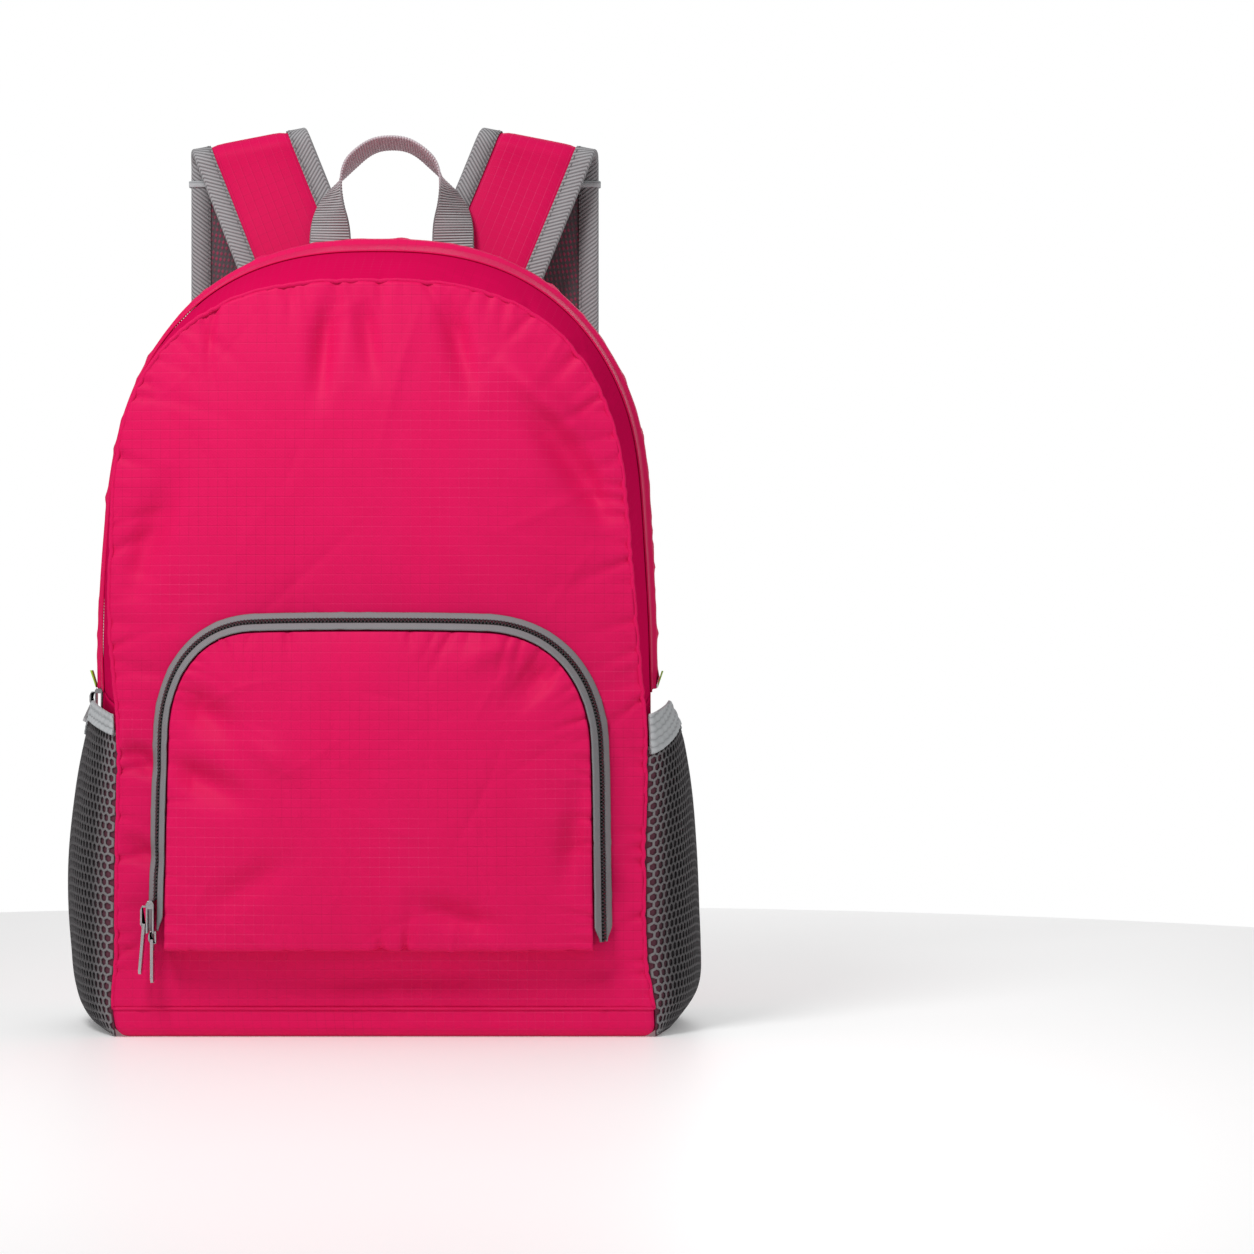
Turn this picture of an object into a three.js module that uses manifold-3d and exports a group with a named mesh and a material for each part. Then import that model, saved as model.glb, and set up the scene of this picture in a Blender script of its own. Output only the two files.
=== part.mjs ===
import * as THREE from "three";
import Module from "manifold-3d";
import { mergeVertices } from "three/addons/utils/BufferGeometryUtils.js";

// An open ripstop daypack standing on its base, in millimetres.
// +X is the viewer's right, +Y runs from the front pocket to the wearer's back, +Z is up.
// The origin is the middle of the base, on the ground.

// Driving sizes of the bag
const BODY_WIDTH = 316;
const BODY_HEIGHT = 449;
const BODY_DEPTH = 170;
const SPRING_HEIGHT = 250;
const BASE_BAND = 16;
const BASE_EDGE_RADIUS = 7;
const BASE_WALL = 2;
const WALL = 1.2;
const GAP = 0.3;
const FRONT_BULGE = 12;
const BACK_BULGE = 8;
const FOLD_DEPTH = 5;

// Driving sizes of the net side pockets
const NET_HEIGHT = 186;
const NET_BULGE = 23;
const NET_WALL = 1.2;
const ELASTIC_WIDTH = 12;
const ELASTIC_WALL = 1.4;

// Driving sizes of the main zip and its flap
const ZIP_ABOVE_NET = 7;
const MAIN_ZIP_END = NET_HEIGHT + ZIP_ABOVE_NET;
const ZIP_BEHIND_MIDDLE = 3;
const MAIN_ZIP_SETBACK = BODY_DEPTH / 2 + ZIP_BEHIND_MIDDLE;
const MAIN_SLIDER_LENGTH = 12;
const MAIN_BAIL_HEIGHT = 8;
const MAIN_PULL_LENGTH = 13;
const MAIN_PULL_LEAN = 25;
const TAPE_WIDTH = 24;
const COIL_WIDTH = 5;
const COIL_HEIGHT = 1.5;
const FLAP_WIDTH = 32;
const FLAP_OVERHANG = 7;
const FLAP_WALL = 1;

// Driving sizes of the front pocket and its zip
const POCKET_WIDTH = 257;
const POCKET_HEIGHT = 186;
const POCKET_FOOT = 49;
const POCKET_SHIFT = 4;
const POCKET_RISE = 14.5;
const POCKET_BULGE = 7;
const POCKET_TAPE = 6.2;
const POCKET_COIL = 4.6;
const POCKET_COIL_HEIGHT = 1.4;
const LIP_DROP = 2;
const BAND_FOOT = 5;

// Driving sizes of the slider and its two pulls
const SLIDER_LENGTH = 18;
const SLIDER_WIDTH = 7;
const SLIDER_THICKNESS = 4.4;
const SLIDER_PLATE = 1;
const SLIDER_FOOT = 59;
const SLIDER_LIFT = 1.8;
const BAIL_WIRE = 1.1;
const BAIL_WIDTH = 2.4;
const BAIL_ROOM = 2.3;
const BAIL_HEIGHT = 12.5;
const LOW_BAIL_HEIGHT = 7;
const PULL_LENGTH = 28;
const LOW_PULL_LENGTH = 24;
const PULL_WIDTH = 8;
const PULL_THICKNESS = 1.6;
const PULL_BAR = 0.9;
const PULL_EYE_WIDTH = 3.8;
const PULL_EYE_HEIGHT = 5.5;
const PULL_LEAN = 5;

// Driving sizes of the grab handle
const HANDLE_WIDTH = 25;
const HANDLE_WALL = 1.6;
const HANDLE_TOP = 518;
const HANDLE_SPREAD = 76;
const HANDLE_SEWN = 416;
const HANDLE_TILT = 102;
const HANDLE_TWIST_FROM = 0.3;
const HANDLE_TWIST_OVER = 0.5;

// Driving sizes of the shoulder straps
const STRAP_WIDTH = 70;
const STRAP_SPREAD = 168;
const STRAP_TOP = 524;
const STRAP_SEWN = 412;
const STRAP_LEAN = 22;
const STRAP_LENGTH = 405;
const STRAP_FOLD_RADIUS = 8;
const STRAP_SETBACK = 15;
const STRAP_PADDING = 2.4;
const STRAP_EDGE = 0.9;
const BINDING_WIDTH = 12;
const BINDING_WALL = 1;
const KEEPER_WIDTH = 4;
const KEEPER_DROP = 8;

// Driving sizes of the lower webbing and its adjuster
const WEBBING_WIDTH = 24;
const WEBBING_WALL = 1.4;
const WEBBING_TAIL = 60;
const LOCK_WIDTH = 34;
const LOCK_HEIGHT = 26;
const LOCK_THICKNESS = 3.2;
const LOCK_BAR = 3.5;
const LOCK_RAIL = 3.5;

// Driving sizes of the small loops at the ends of the main zip
const LOOP_HEIGHT = 10;
const LOOP_WIDTH = 8;
const LOOP_WALL = 1;
const LOOP_REACH = 3.4;

const rowsOf = (columns, rows) =>
  rows.map((row) => Object.fromEntries(columns.map((name, k) => [name, row[k]])));

// The body's hoops from the front seam to the back seam: wide and tall are shares of the body.
const SECTIONS = rowsOf(["back", "wide", "tall", "square"], [
  [0.0, 0.925, 0.936, 2.75],
  [0.2, 0.965, 0.965, 2.6],
  [0.42, 0.99, 0.99, 2.5],
  [0.55, 1.0, 1.0, 2.45],
  [0.8, 0.985, 0.985, 2.5],
  [1.0, 0.94, 0.955, 2.6],
]);

// The body by height: wide swells the hoops, and the sways shift them sideways in half widths.
const LEVELS = rowsOf(["up", "wide", "front_sway", "rear_sway"], [
  [0.0, 1.02, 0.044, 0.02],
  [0.036, 1.025, 0.036, 0.016],
  [0.1, 1.005, 0.026, 0.006],
  [0.22, 1.0, 0.025, -0.008],
  [0.38, 1.0, 0.03, -0.02],
  [0.5, 1.0, 0.0, -0.021],
  [0.64, 0.985, -0.012, -0.018],
  [0.8, 1.0, -0.02, -0.008],
  [1.0, 1.0, -0.012, -0.006],
]);

// Folds of the front panel: places and lengths are shares of the body, deep of the fold depth.
const FRONT_FOLDS = rowsOf(["side", "up", "lean", "long", "wide", "deep"], [
  [-0.17, 0.86, 6, 0.2, 0.02, 0.7],
  [-0.02, 0.87, -8, 0.16, 0.02, 0.5],
  [0.3, 0.86, -14, 0.18, 0.022, 0.6],
  [0.72, 0.7, -35, 0.26, 0.03, 0.9],
  [0.6, 0.79, -48, 0.2, 0.025, -0.6],
  [-0.78, 0.62, 22, 0.22, 0.03, 0.6],
  [-0.86, 0.28, 58, 0.16, 0.03, 0.6],
  [0.8, 0.2, -40, 0.2, 0.03, 0.5],
  [0.1, 0.07, 88, 0.4, 0.025, 0.5],
]);

// Folds of the pocket: places and lengths are shares of the pocket, deep of the fold depth.
const POCKET_FOLDS = rowsOf(["side", "up", "lean", "long", "wide", "deep"], [
  [0.72, 0.84, 42, 0.4, 0.03, 0.7],
  [0.5, 0.9, 62, 0.35, 0.03, -0.4],
  [-0.8, 0.72, -35, 0.36, 0.03, 0.6],
  [0.86, 0.35, 12, 0.5, 0.03, 0.5],
  [-0.55, 0.2, 60, 0.4, 0.035, 0.4],
  [0.35, 0.1, -70, 0.4, 0.03, 0.6],
]);

// How far each net stands off its side, from its foot to its rim, in shares of its bulge.
const NET_PROFILE = rowsOf(["up", "left", "right"], [
  [0.0, 0.05, 0.05],
  [0.03, 0.42, 0.3],
  [0.12, 0.7, 0.74],
  [0.22, 0.86, 0.94],
  [0.38, 0.94, 1.0],
  [0.56, 0.88, 1.0],
  [0.75, 0.68, 0.93],
  [0.88, 0.48, 0.78],
  [0.94, 0.34, 0.62],
  [1.0, 0.2, 0.38],
]);

// The net's rim from the front seam to the back seam, and the width of its elastic there.
const RIM = rowsOf(["back", "up", "left_band", "right_band"], [
  [0.0, 0.965, 1.05, 2.0],
  [0.2, 0.99, 1.0, 1.45],
  [0.36, 1.0, 1.0, 1.1],
  [0.48, 0.96, 1.0, 1.0],
  [0.6, 0.945, 1.0, 1.0],
  [1.0, 0.95, 1.0, 1.0],
]);

const CLOTH = { color: 0xd81050, roughness: 0.55, metalness: 0 };
const NET = { color: 0x3a3638, roughness: 0.85, metalness: 0 };
const GREY_TAPE = { color: 0x8a888a, roughness: 0.8, metalness: 0 };
const LIGHT_ELASTIC = { color: 0xb4b1b3, roughness: 0.75, metalness: 0 };
const DARK_COIL = { color: 0x2e2c2e, roughness: 0.5, metalness: 0 };
const LIME_TAPE = { color: 0x9fd838, roughness: 0.7, metalness: 0 };
const STEEL = { color: 0xc9c8ca, roughness: 0.25, metalness: 1 };
const GREY_PLASTIC = { color: 0x6f6d70, roughness: 0.5, metalness: 0 };

const wasm = await Module();
wasm.setup();

const bag = new THREE.Group();

const clamp = THREE.MathUtils.clamp;
const mix = THREE.MathUtils.lerp;
const radians = THREE.MathUtils.degToRad;
const smooth = (share) => THREE.MathUtils.smoothstep(share, 0, 1);
const vector = (x, y, z) => new THREE.Vector3(x, y, z);

// One column of a table, read smoothly between its rows.
function read(rows, where, name, at) {
  const next = rows.findIndex((row) => row[where] > at);
  const k = next < 0 ? rows.length - 1 : Math.max(1, next);
  const [before, from, to, after] = [k - 2, k - 1, k, k + 1].map(
    (i) => rows[clamp(i, 0, rows.length - 1)],
  );
  const span = to[where] - from[where];
  const slope = (a, b) => ((b[name] - a[name]) / (b[where] - a[where])) * span;
  const t = clamp((at - from[where]) / span, 0, 1);
  const leaving = slope(before, to);
  const arriving = slope(from, after);
  const step = to[name] - from[name];
  return from[name] + t * (leaving + t * (3 * step - 2 * leaving - arriving
    + t * (leaving + arriving - 2 * step)));
}

// A closed geometry from corner points and triangles, turned so that its faces point out.
function closedGeometry(points, triangles) {
  const volume = triangles.reduce((sum, [a, b, c]) =>
    sum + points[a].dot(points[b].clone().cross(points[c])), 0);
  const faces = volume < 0 ? triangles.map(([a, b, c]) => [a, c, b]) : triangles;
  const geometry = new THREE.BufferGeometry().setFromPoints(points);
  geometry.setIndex(faces.flat());
  geometry.computeVertexNormals();
  return geometry;
}

const add = (name, look, geometry) => {
  const mesh = new THREE.Mesh(geometry, new THREE.MeshStandardMaterial(look));
  mesh.name = name;
  bag.add(mesh);
  return mesh;
};

// A cloth wall between two surfaces that share one grid of columns and rows.
const LEAST_EDGE = 1e-3;
function wall(columns, rows, outer, inner, joined = false) {
  const points = [];
  const across = joined ? columns : columns + 1;
  for (const surface of [outer, inner]) {
    for (let row = 0; row <= rows; row++) {
      for (let column = 0; column < across; column++) {
        points.push(surface(column / columns, row / rows));
      }
    }
  }
  const inside = across * (rows + 1);
  const at = (column, row) => row * across + (column % across);
  const triangles = [];
  const quad = (a, b, c, d) => triangles.push([a, b, c], [a, c, d]);
  for (let row = 0; row < rows; row++) {
    for (let column = 0; column < columns; column++) {
      const [a, b, c, d] = [at(column, row), at(column + 1, row),
        at(column + 1, row + 1), at(column, row + 1)];
      quad(a, b, c, d);
      quad(inside + d, inside + c, inside + b, inside + a);
    }
  }
  for (let column = 0; column < columns; column++) {
    const [a, b] = [at(column, 0), at(column + 1, 0)];
    const [c, d] = [at(column, rows), at(column + 1, rows)];
    quad(b, a, inside + a, inside + b);
    quad(c, d, inside + d, inside + c);
  }
  for (let row = 0; row < rows && !joined; row++) {
    const [a, b] = [at(0, row), at(0, row + 1)];
    const [c, d] = [at(columns, row), at(columns, row + 1)];
    quad(a, b, inside + b, inside + a);
    quad(d, c, inside + c, inside + d);
  }
  const apart = ([a, b, c]) => [[a, b], [b, c], [c, a]].every(
    ([from, to]) => points[from].distanceTo(points[to]) > LEAST_EDGE);
  return closedGeometry(points, triangles.filter(apart));
}

// A strip of one section, set down at each station by place(station, across, out).
function swept(section, stations, place) {
  const points = stations.flatMap((station) =>
    section.map(([across, out]) => place(station, across, out)));
  const size = section.length;
  const last = (stations.length - 1) * size;
  const triangles = [];
  for (let ring = 0; ring < last; ring += size) {
    for (let k = 0; k < size; k++) {
      const next = (k + 1) % size;
      triangles.push([ring + k, ring + next, ring + size + next]);
      triangles.push([ring + k, ring + size + next, ring + size + k]);
    }
  }
  const outline = section.map(([across, out]) => new THREE.Vector2(across, out));
  const turn = (corners) => Math.sign(THREE.ShapeUtils.area(corners));
  for (const face of THREE.ShapeUtils.triangulateShape(outline, [])) {
    const alike = turn(face.map((k) => outline[k])) === turn(outline);
    const [a, b, c] = alike ? face : [face[0], face[2], face[1]];
    triangles.push([a, c, b], [last + a, last + b, last + c]);
  }
  return closedGeometry(points, triangles);
}

const bar = (low, high, from, to) => [[low, from], [high, from], [high, to], [low, to]];
const even = (count, from = 0, to = 1) =>
  Array.from({ length: count + 1 }, (_, k) => mix(from, to, k / count));

// The body: hoops over the top from the left foot to the right foot
const PANEL_FOOT = BASE_BAND + GAP;
const LEG_STEPS = 8;
const ARCH_STEPS = 32;
const swayAt = (back, height) => {
  const up = height / BODY_HEIGHT;
  const front = read(LEVELS, "up", "front_sway", up);
  const rear = read(LEVELS, "up", "rear_sway", up);
  return (BODY_WIDTH / 2) * mix(front, rear, clamp(2 * back, 0, 1));
};

function halfWidth(back, height) {
  const half = (BODY_WIDTH / 2) * read(SECTIONS, "back", "wide", back)
    * read(LEVELS, "up", "wide", height / BODY_HEIGHT);
  const top = BODY_HEIGHT * read(SECTIONS, "back", "tall", back);
  const power = read(SECTIONS, "back", "square", back);
  const share = clamp((height - SPRING_HEIGHT) / (top - SPRING_HEIGHT), 0, 1);
  return half * (1 - share ** power) ** (1 / power);
}

const depthAt = (back) => BODY_DEPTH * (back - 0.5);
const sidePoint = (side, back, height) =>
  vector(swayAt(back, height) + side * halfWidth(back, height), depthAt(back), height);

const hoops = new Map();
function hoop(back) {
  if (hoops.has(back)) return hoops.get(back);
  const top = BODY_HEIGHT * read(SECTIONS, "back", "tall", back);
  const power = read(SECTIONS, "back", "square", back);
  const leg = even(LEG_STEPS, PANEL_FOOT, SPRING_HEIGHT);
  const left = leg.map((height) => sidePoint(-1, back, height));
  const right = leg.map((height) => sidePoint(1, back, height)).reverse();
  const arch = even(ARCH_STEPS, Math.PI, 0).slice(1, -1).map((angle) => {
    const height = SPRING_HEIGHT + (top - SPRING_HEIGHT) * Math.sin(angle) ** (2 / power);
    return sidePoint(Math.sign(Math.cos(angle)), back, height);
  });
  const curve = new THREE.CatmullRomCurve3([...left, ...arch, ...right]);
  curve.arcLengthDivisions = 400;
  hoops.set(back, curve);
  return curve;
}

// A point of the gusset, a share of the way over the hoop, and out from the cloth.
const NUDGE = 0.004;
function gussetPoint(share, back, out = 0) {
  const point = hoop(back).getPointAt(share);
  const around = hoop(back).getPointAt(Math.min(1, share + NUDGE))
    .sub(hoop(back).getPointAt(Math.max(0, share - NUDGE)));
  const front = Math.max(0, back - NUDGE);
  const rear = Math.min(1, back + NUDGE);
  const across = hoop(rear).getPointAt(share).sub(hoop(front).getPointAt(share));
  const normal = around.cross(across);
  if (share === 0 || share === 1) normal.setZ(0);
  return point.addScaledVector(normal.normalize(), out);
}

// A patch stretched between the four sides of an outline.
function patch(bottom, left, top, right) {
  const corners = [bottom(0), bottom(1), top(1), top(0)];
  return (u, v) => {
    const point = bottom(u).multiplyScalar(1 - v).addScaledVector(top(u), v)
      .addScaledVector(left(v), 1 - u).addScaledVector(right(v), u);
    const shares = [(1 - u) * (1 - v), u * (1 - v), u * v, (1 - u) * v];
    corners.forEach((corner, k) => point.addScaledVector(corner, -shares[k]));
    return point;
  };
}

function dentAt(folds, x, z, width, height) {
  return folds.reduce((sum, fold) => {
    const right = x - (fold.side * width) / 2;
    const up = z - fold.up * height;
    const lean = radians(fold.lean);
    const along = right * Math.sin(lean) + up * Math.cos(lean);
    const across = right * Math.cos(lean) - up * Math.sin(lean);
    const reach = clamp(Math.abs(along) / ((fold.long * height) / 2), 0, 1);
    const hollow = Math.exp(-((across / (fold.wide * width)) ** 2));
    return sum + FOLD_DEPTH * fold.deep * (1 - reach ** 2) ** 2 * hollow;
  }, 0);
}

// How far a panel stands out between its seams, from 0 at a seam to 1 in the middle.
const CROWN_POWER = 2.6;
const SEAM_FADE = 4;
function crownAt(back, x, z) {
  const top = BODY_HEIGHT * read(SECTIONS, "back", "tall", back);
  const middle = (PANEL_FOOT + top) / 2;
  const across = Math.abs(x - swayAt(back, z)) / Math.max(halfWidth(back, z), GAP);
  const up = Math.abs(z - middle) / (top - middle);
  return (1 - clamp(across, 0, 1) ** CROWN_POWER) * (1 - clamp(up, 0, 1) ** CROWN_POWER);
}

const frontSkin = (x, z) => {
  const crown = crownAt(0, x, z);
  const dents = dentAt(FRONT_FOLDS, x, z, BODY_WIDTH, BODY_HEIGHT) * clamp(SEAM_FADE * crown, 0, 1);
  return -BODY_DEPTH / 2 - FRONT_BULGE * crown + dents;
};
const backSkin = (x, z) => BODY_DEPTH / 2 + BACK_BULGE * crownAt(1, x, z);

const SHOULDER_SHARE = 0.345;
function panelPatch(back) {
  const outline = hoop(back);
  const at = (from, to) => (share) => outline.getPointAt(mix(from, to, share));
  const foot = (share) => outline.getPointAt(0).lerp(outline.getPointAt(1), share);
  return patch(foot, at(0, SHOULDER_SHARE), at(SHOULDER_SHARE, 1 - SHOULDER_SHARE),
    at(1, 1 - SHOULDER_SHARE));
}

function addPanel(name, back, { columns, rows }, skin, inward) {
  const place = panelPatch(back);
  const surface = (depth) => (u, v) => {
    const point = place(u, v);
    return point.setY(skin(point.x, point.z) + depth);
  };
  add(name, CLOTH, wall(columns, rows, surface(0), surface(inward)));
}

const FRONT_GRID = { columns: 18, rows: 19 };
const BACK_GRID = { columns: 10, rows: 10 };
addPanel("front_panel", 0, FRONT_GRID, frontSkin, WALL);
addPanel("back_panel", 1, BACK_GRID, backSkin, -WALL);

// The base: a tray whose turned-up band carries the panels
const BASE_COLUMNS = 28;
const BASE_SIDE_COLUMNS = 5;
const sideShare = BASE_SIDE_COLUMNS / BASE_COLUMNS;
const BASE_CORNERS = [0, 0.5 - sideShare, 0.5, 1 - sideShare, 1];
const BASE_RINGS = rowsOf(["reach", "height", "inset"], [
  [0, 0, 0],
  [0.6, 0, 0],
  [1, 0, 1],
  [1, 0.45, 0],
  [1, 1, 0],
]);

function girthPoint(share, height) {
  const side = BASE_CORNERS.findIndex((corner) => corner > share) - 1;
  const [from, to] = [BASE_CORNERS[side], BASE_CORNERS[side + 1]];
  const part = (share - from) / (to - from);
  const ends = [[-1, 0], [1, 0], [1, 1], [-1, 1], [-1, 0]];
  const [[sideA, backA], [sideB, backB]] = [ends[side], ends[side + 1]];
  if (sideA === sideB) return sidePoint(sideA, mix(backA, backB, part), height);
  const corner = sidePoint(sideA, backA, height);
  return corner.lerp(sidePoint(sideB, backB, height), part);
}

function baseSurface(thickness) {
  return (u, v) => {
    const ring = BASE_RINGS[Math.round(v * (BASE_RINGS.length - 1))];
    const height = ring.height * BASE_BAND;
    const point = girthPoint(u % 1, height).setZ(0);
    const rim = ring.height > 0 || ring.inset > 0 ? thickness : 0;
    const inset = ring.inset * BASE_EDGE_RADIUS + rim * Math.SQRT2;
    point.x -= Math.sign(point.x) * Math.min(inset, Math.abs(point.x));
    point.y -= Math.sign(point.y) * Math.min(inset, Math.abs(point.y));
    const lift = ring.height < 1 ? thickness : 0;
    return point.multiplyScalar(ring.reach).setZ(height + lift);
  };
}

add("base_panel", CLOTH,
  wall(BASE_COLUMNS, BASE_RINGS.length - 1, baseSurface(0), baseSurface(BASE_WALL), true));

// The gusset: a front strip, the zip and a rear strip over the top, and a side below each end
const HOOP_LENGTH = hoop(0.5).getLength();
const SEAM = (WALL + GAP) / BODY_DEPTH;
const ZIP_SHARE = (MAIN_ZIP_END - PANEL_FOOT) / HOOP_LENGTH;
const ZIP_BACK = MAIN_ZIP_SETBACK / BODY_DEPTH;
const TAPE_HALF = TAPE_WIDTH / 2 / BODY_DEPTH;
const GUSSET_STEPS = 30;
const GUSSET_ROWS = 3;
const SIDE_GRID = { columns: 6, rows: 7 };

function addGusset(name, look, shares, backs, columns, rows) {
  const surface = (offset) => (u, v) =>
    gussetPoint(mix(shares[0], shares[1], u), mix(backs[0], backs[1], v), offset);
  add(name, look, wall(columns, rows, surface(0), surface(-WALL)));
}

const overTop = [ZIP_SHARE, 1 - ZIP_SHARE];
const belowZip = ZIP_SHARE - GAP / HOOP_LENGTH;
const zipEdge = TAPE_HALF + GAP / BODY_DEPTH;
addGusset("gusset_front", CLOTH, overTop, [SEAM, ZIP_BACK - zipEdge], GUSSET_STEPS,
  GUSSET_ROWS);
addGusset("gusset_rear", CLOTH, overTop, [ZIP_BACK + zipEdge, 1 - SEAM], GUSSET_STEPS,
  GUSSET_ROWS);
addGusset("main_zip_tape", GREY_TAPE, overTop, [ZIP_BACK - TAPE_HALF, ZIP_BACK + TAPE_HALF],
  GUSSET_STEPS, 1);
for (const [name, shares] of [["side_left", [0, belowZip]], ["side_right", [1 - belowZip, 1]]]) {
  addGusset(name, CLOTH, shares, [SEAM, 1 - SEAM], SIDE_GRID.columns, SIDE_GRID.rows);
}

const onZip = (share, across, out) => gussetPoint(share, ZIP_BACK + across / BODY_DEPTH, out);
const coilTop = GAP + COIL_HEIGHT;
add("main_zip_coil", DARK_COIL, swept(bar(-COIL_WIDTH / 2, COIL_WIDTH / 2, GAP, coilTop),
  even(GUSSET_STEPS, ...overTop), onZip));

// The flap is sewn to the front strip and hangs over the coil.
const flapRoot = FLAP_OVERHANG - FLAP_WIDTH;
const flapStep = -COIL_WIDTH / 2 - FLAP_WALL;
const flapUnder = coilTop + 2 * GAP;
const flapSection = [
  [flapRoot, GAP],
  [flapStep - coilTop, GAP],
  [flapStep, flapUnder],
  [FLAP_OVERHANG, flapUnder],
  [FLAP_OVERHANG, flapUnder + FLAP_WALL],
  [flapStep - FLAP_WALL, flapUnder + FLAP_WALL],
  [flapStep - coilTop - FLAP_WALL, GAP + FLAP_WALL],
  [flapRoot, GAP + FLAP_WALL],
];
add("zip_flap", CLOTH, swept(flapSection, even(GUSSET_STEPS, ...overTop), onZip));

// A small folded loop of tape sewn under each end of the flap
function addLoop(name, side) {
  const share = side < 0 ? overTop[0] : overTop[1];
  const root = gussetPoint(share, ZIP_BACK, flapUnder + FLAP_WALL + 2 * GAP);
  const section = [[0, 0], [LOOP_REACH, LOOP_HEIGHT], [LOOP_REACH - LOOP_WALL, LOOP_HEIGHT],
    [0, 2 * LOOP_WALL]];
  const place = (across, out, up) =>
    vector(root.x + side * out, root.y + across, root.z + up);
  add(name, LIME_TAPE, swept(section, [-LOOP_WIDTH / 2, LOOP_WIDTH / 2], place));
}
addLoop("end_loop_left", -1);
addLoop("end_loop_right", 1);

// A solid for joining and cutting, and the geometry that comes back from it
function solidOf(geometry) {
  const bare = new THREE.BufferGeometry();
  bare.setAttribute("position", geometry.getAttribute("position"));
  if (geometry.index) bare.setIndex(geometry.index);
  const merged = mergeVertices(bare);
  return new wasm.Manifold(new wasm.Mesh({
    numProp: 3,
    vertProperties: merged.attributes.position.array,
    triVerts: new Uint32Array(merged.index.array),
  }));
}

function geometryOf(solid) {
  const made = solid.getMesh();
  const geometry = new THREE.BufferGeometry();
  geometry.setAttribute("position", new THREE.BufferAttribute(made.vertProperties, 3));
  geometry.setIndex(new THREE.BufferAttribute(made.triVerts, 1));
  geometry.computeVertexNormals();
  return geometry;
}

// A slider stands with its plates across X. Its outline lies in XZ and its width along Y.
function plateOf(outline, holes, thickness) {
  const [edge, ...openings] = [outline, ...holes].map((corners) => {
    const points = corners.map(([x, z]) => new THREE.Vector2(x, z));
    return THREE.ShapeUtils.isClockWise(points) ? points.reverse() : points;
  });
  const shape = new THREE.Shape(edge);
  shape.holes = openings.map((points) => new THREE.Path(points));
  const plate = new THREE.ExtrudeGeometry(shape, { depth: thickness, bevelEnabled: false });
  return plate.translate(0, 0, -thickness / 2).rotateX(Math.PI / 2);
}

const half = SLIDER_THICKNESS / 2;
const throat = half - SLIDER_PLATE;
const NOSE_SHARE = 0.75;
const BEVEL_SHARE = 0.9;
const sliderBody = (length) => plateOf([[-half, 0], [-throat, 0], [-throat, length * NOSE_SHARE],
  [throat, length * NOSE_SHARE], [throat, 0], [half, 0], [half, length * BEVEL_SHARE],
  [throat, length], [-throat, length], [-half, length * BEVEL_SHARE]], [], SLIDER_WIDTH);

// A bail is a wire loop that stands out from a plate, and holds the bar of a pull.
function bail(out, foot, height, root) {
  const far = out + BAIL_ROOM + BAIL_WIRE;
  const ring = [[root, foot], [far - BAIL_WIRE, foot], [far, foot + BAIL_WIRE * 2],
    [far, foot + height - BAIL_WIRE * 2], [far - BAIL_WIRE, foot + height], [root, foot + height]];
  const hole = [[out, foot + BAIL_WIRE], [out + BAIL_ROOM, foot + BAIL_WIRE],
    [out + BAIL_ROOM, foot + height - BAIL_WIRE], [out, foot + height - BAIL_WIRE]];
  const mirrored = ([x, z]) => [-x, z];
  return plateOf(ring.map(mirrored), [hole.map(mirrored)], BAIL_WIDTH);
}

const bailFoot = (SLIDER_LENGTH - BAIL_HEIGHT) / 2;
const mainBailFoot = (MAIN_SLIDER_LENGTH - MAIN_BAIL_HEIGHT) / 2;
const outerBail = bail(half, bailFoot, BAIL_HEIGHT, half - SLIDER_PLATE / 2);
const lowBail = bail(-half, BAIL_WIRE - LOW_BAIL_HEIGHT, LOW_BAIL_HEIGHT, -half - BAIL_WIRE);
const mainBail = bail(half, mainBailFoot, MAIN_BAIL_HEIGHT, half - SLIDER_PLATE / 2);
const joined = (...pieces) => geometryOf(pieces.map(solidOf).reduce((all, next) => all.add(next)));

// A pull is a plate with an eye below its bar. The bar's middle is the pull's origin.
function pullGeometry(length) {
  const wide = PULL_WIDTH / 2;
  const top = PULL_BAR / 2;
  const chamfer = PULL_WIDTH / 4;
  const outline = [[-wide, top], [-wide, top - length + chamfer],
    [chamfer - wide, top - length], [wide - chamfer, top - length],
    [wide, top - length + chamfer], [wide, top]];
  const eye = bar(-PULL_EYE_WIDTH / 2, PULL_EYE_WIDTH / 2, -top - PULL_EYE_HEIGHT, -top);
  return plateOf(outline, [eye], PULL_THICKNESS).rotateZ(Math.PI / 2);
}

// The front pocket: a zip band that climbs from the front panel, and a panel inside it
const POCKET_CORNERS = rowsOf(["side", "wide", "tall", "lean"], [
  [-1, 0.24, 0.4, 0.012],
  [1, 0.29, 0.44, 0.006],
]);
const CORNER_POWER = 2.3;
const CORNER_STEPS = 8;
const pocketTop = POCKET_FOOT + POCKET_HEIGHT;

function pocketCorner(corner) {
  const wide = POCKET_WIDTH * corner.wide;
  const tall = POCKET_HEIGHT * corner.tall;
  const foot = POCKET_WIDTH / 2;
  const side = foot - POCKET_WIDTH * corner.lean;
  const stand = [0, 0.5].map((share) =>
    vector(POCKET_SHIFT + corner.side * mix(foot, side, share), 0,
      mix(POCKET_FOOT, pocketTop - tall, share)));
  const bend = even(CORNER_STEPS, 0, Math.PI / 2).map((angle) =>
    vector(POCKET_SHIFT + corner.side * (side - wide + wide * Math.cos(angle) ** (2 / CORNER_POWER)),
      0, pocketTop - tall + tall * Math.sin(angle) ** (2 / CORNER_POWER)));
  return [...stand, ...bend];
}

const [leftCorner, rightCorner] = POCKET_CORNERS.map(pocketCorner);
const pocketEdge = new THREE.CatmullRomCurve3([...leftCorner, ...rightCorner.reverse()],
  false, "centripetal");
pocketEdge.arcLengthDivisions = 400;

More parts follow.
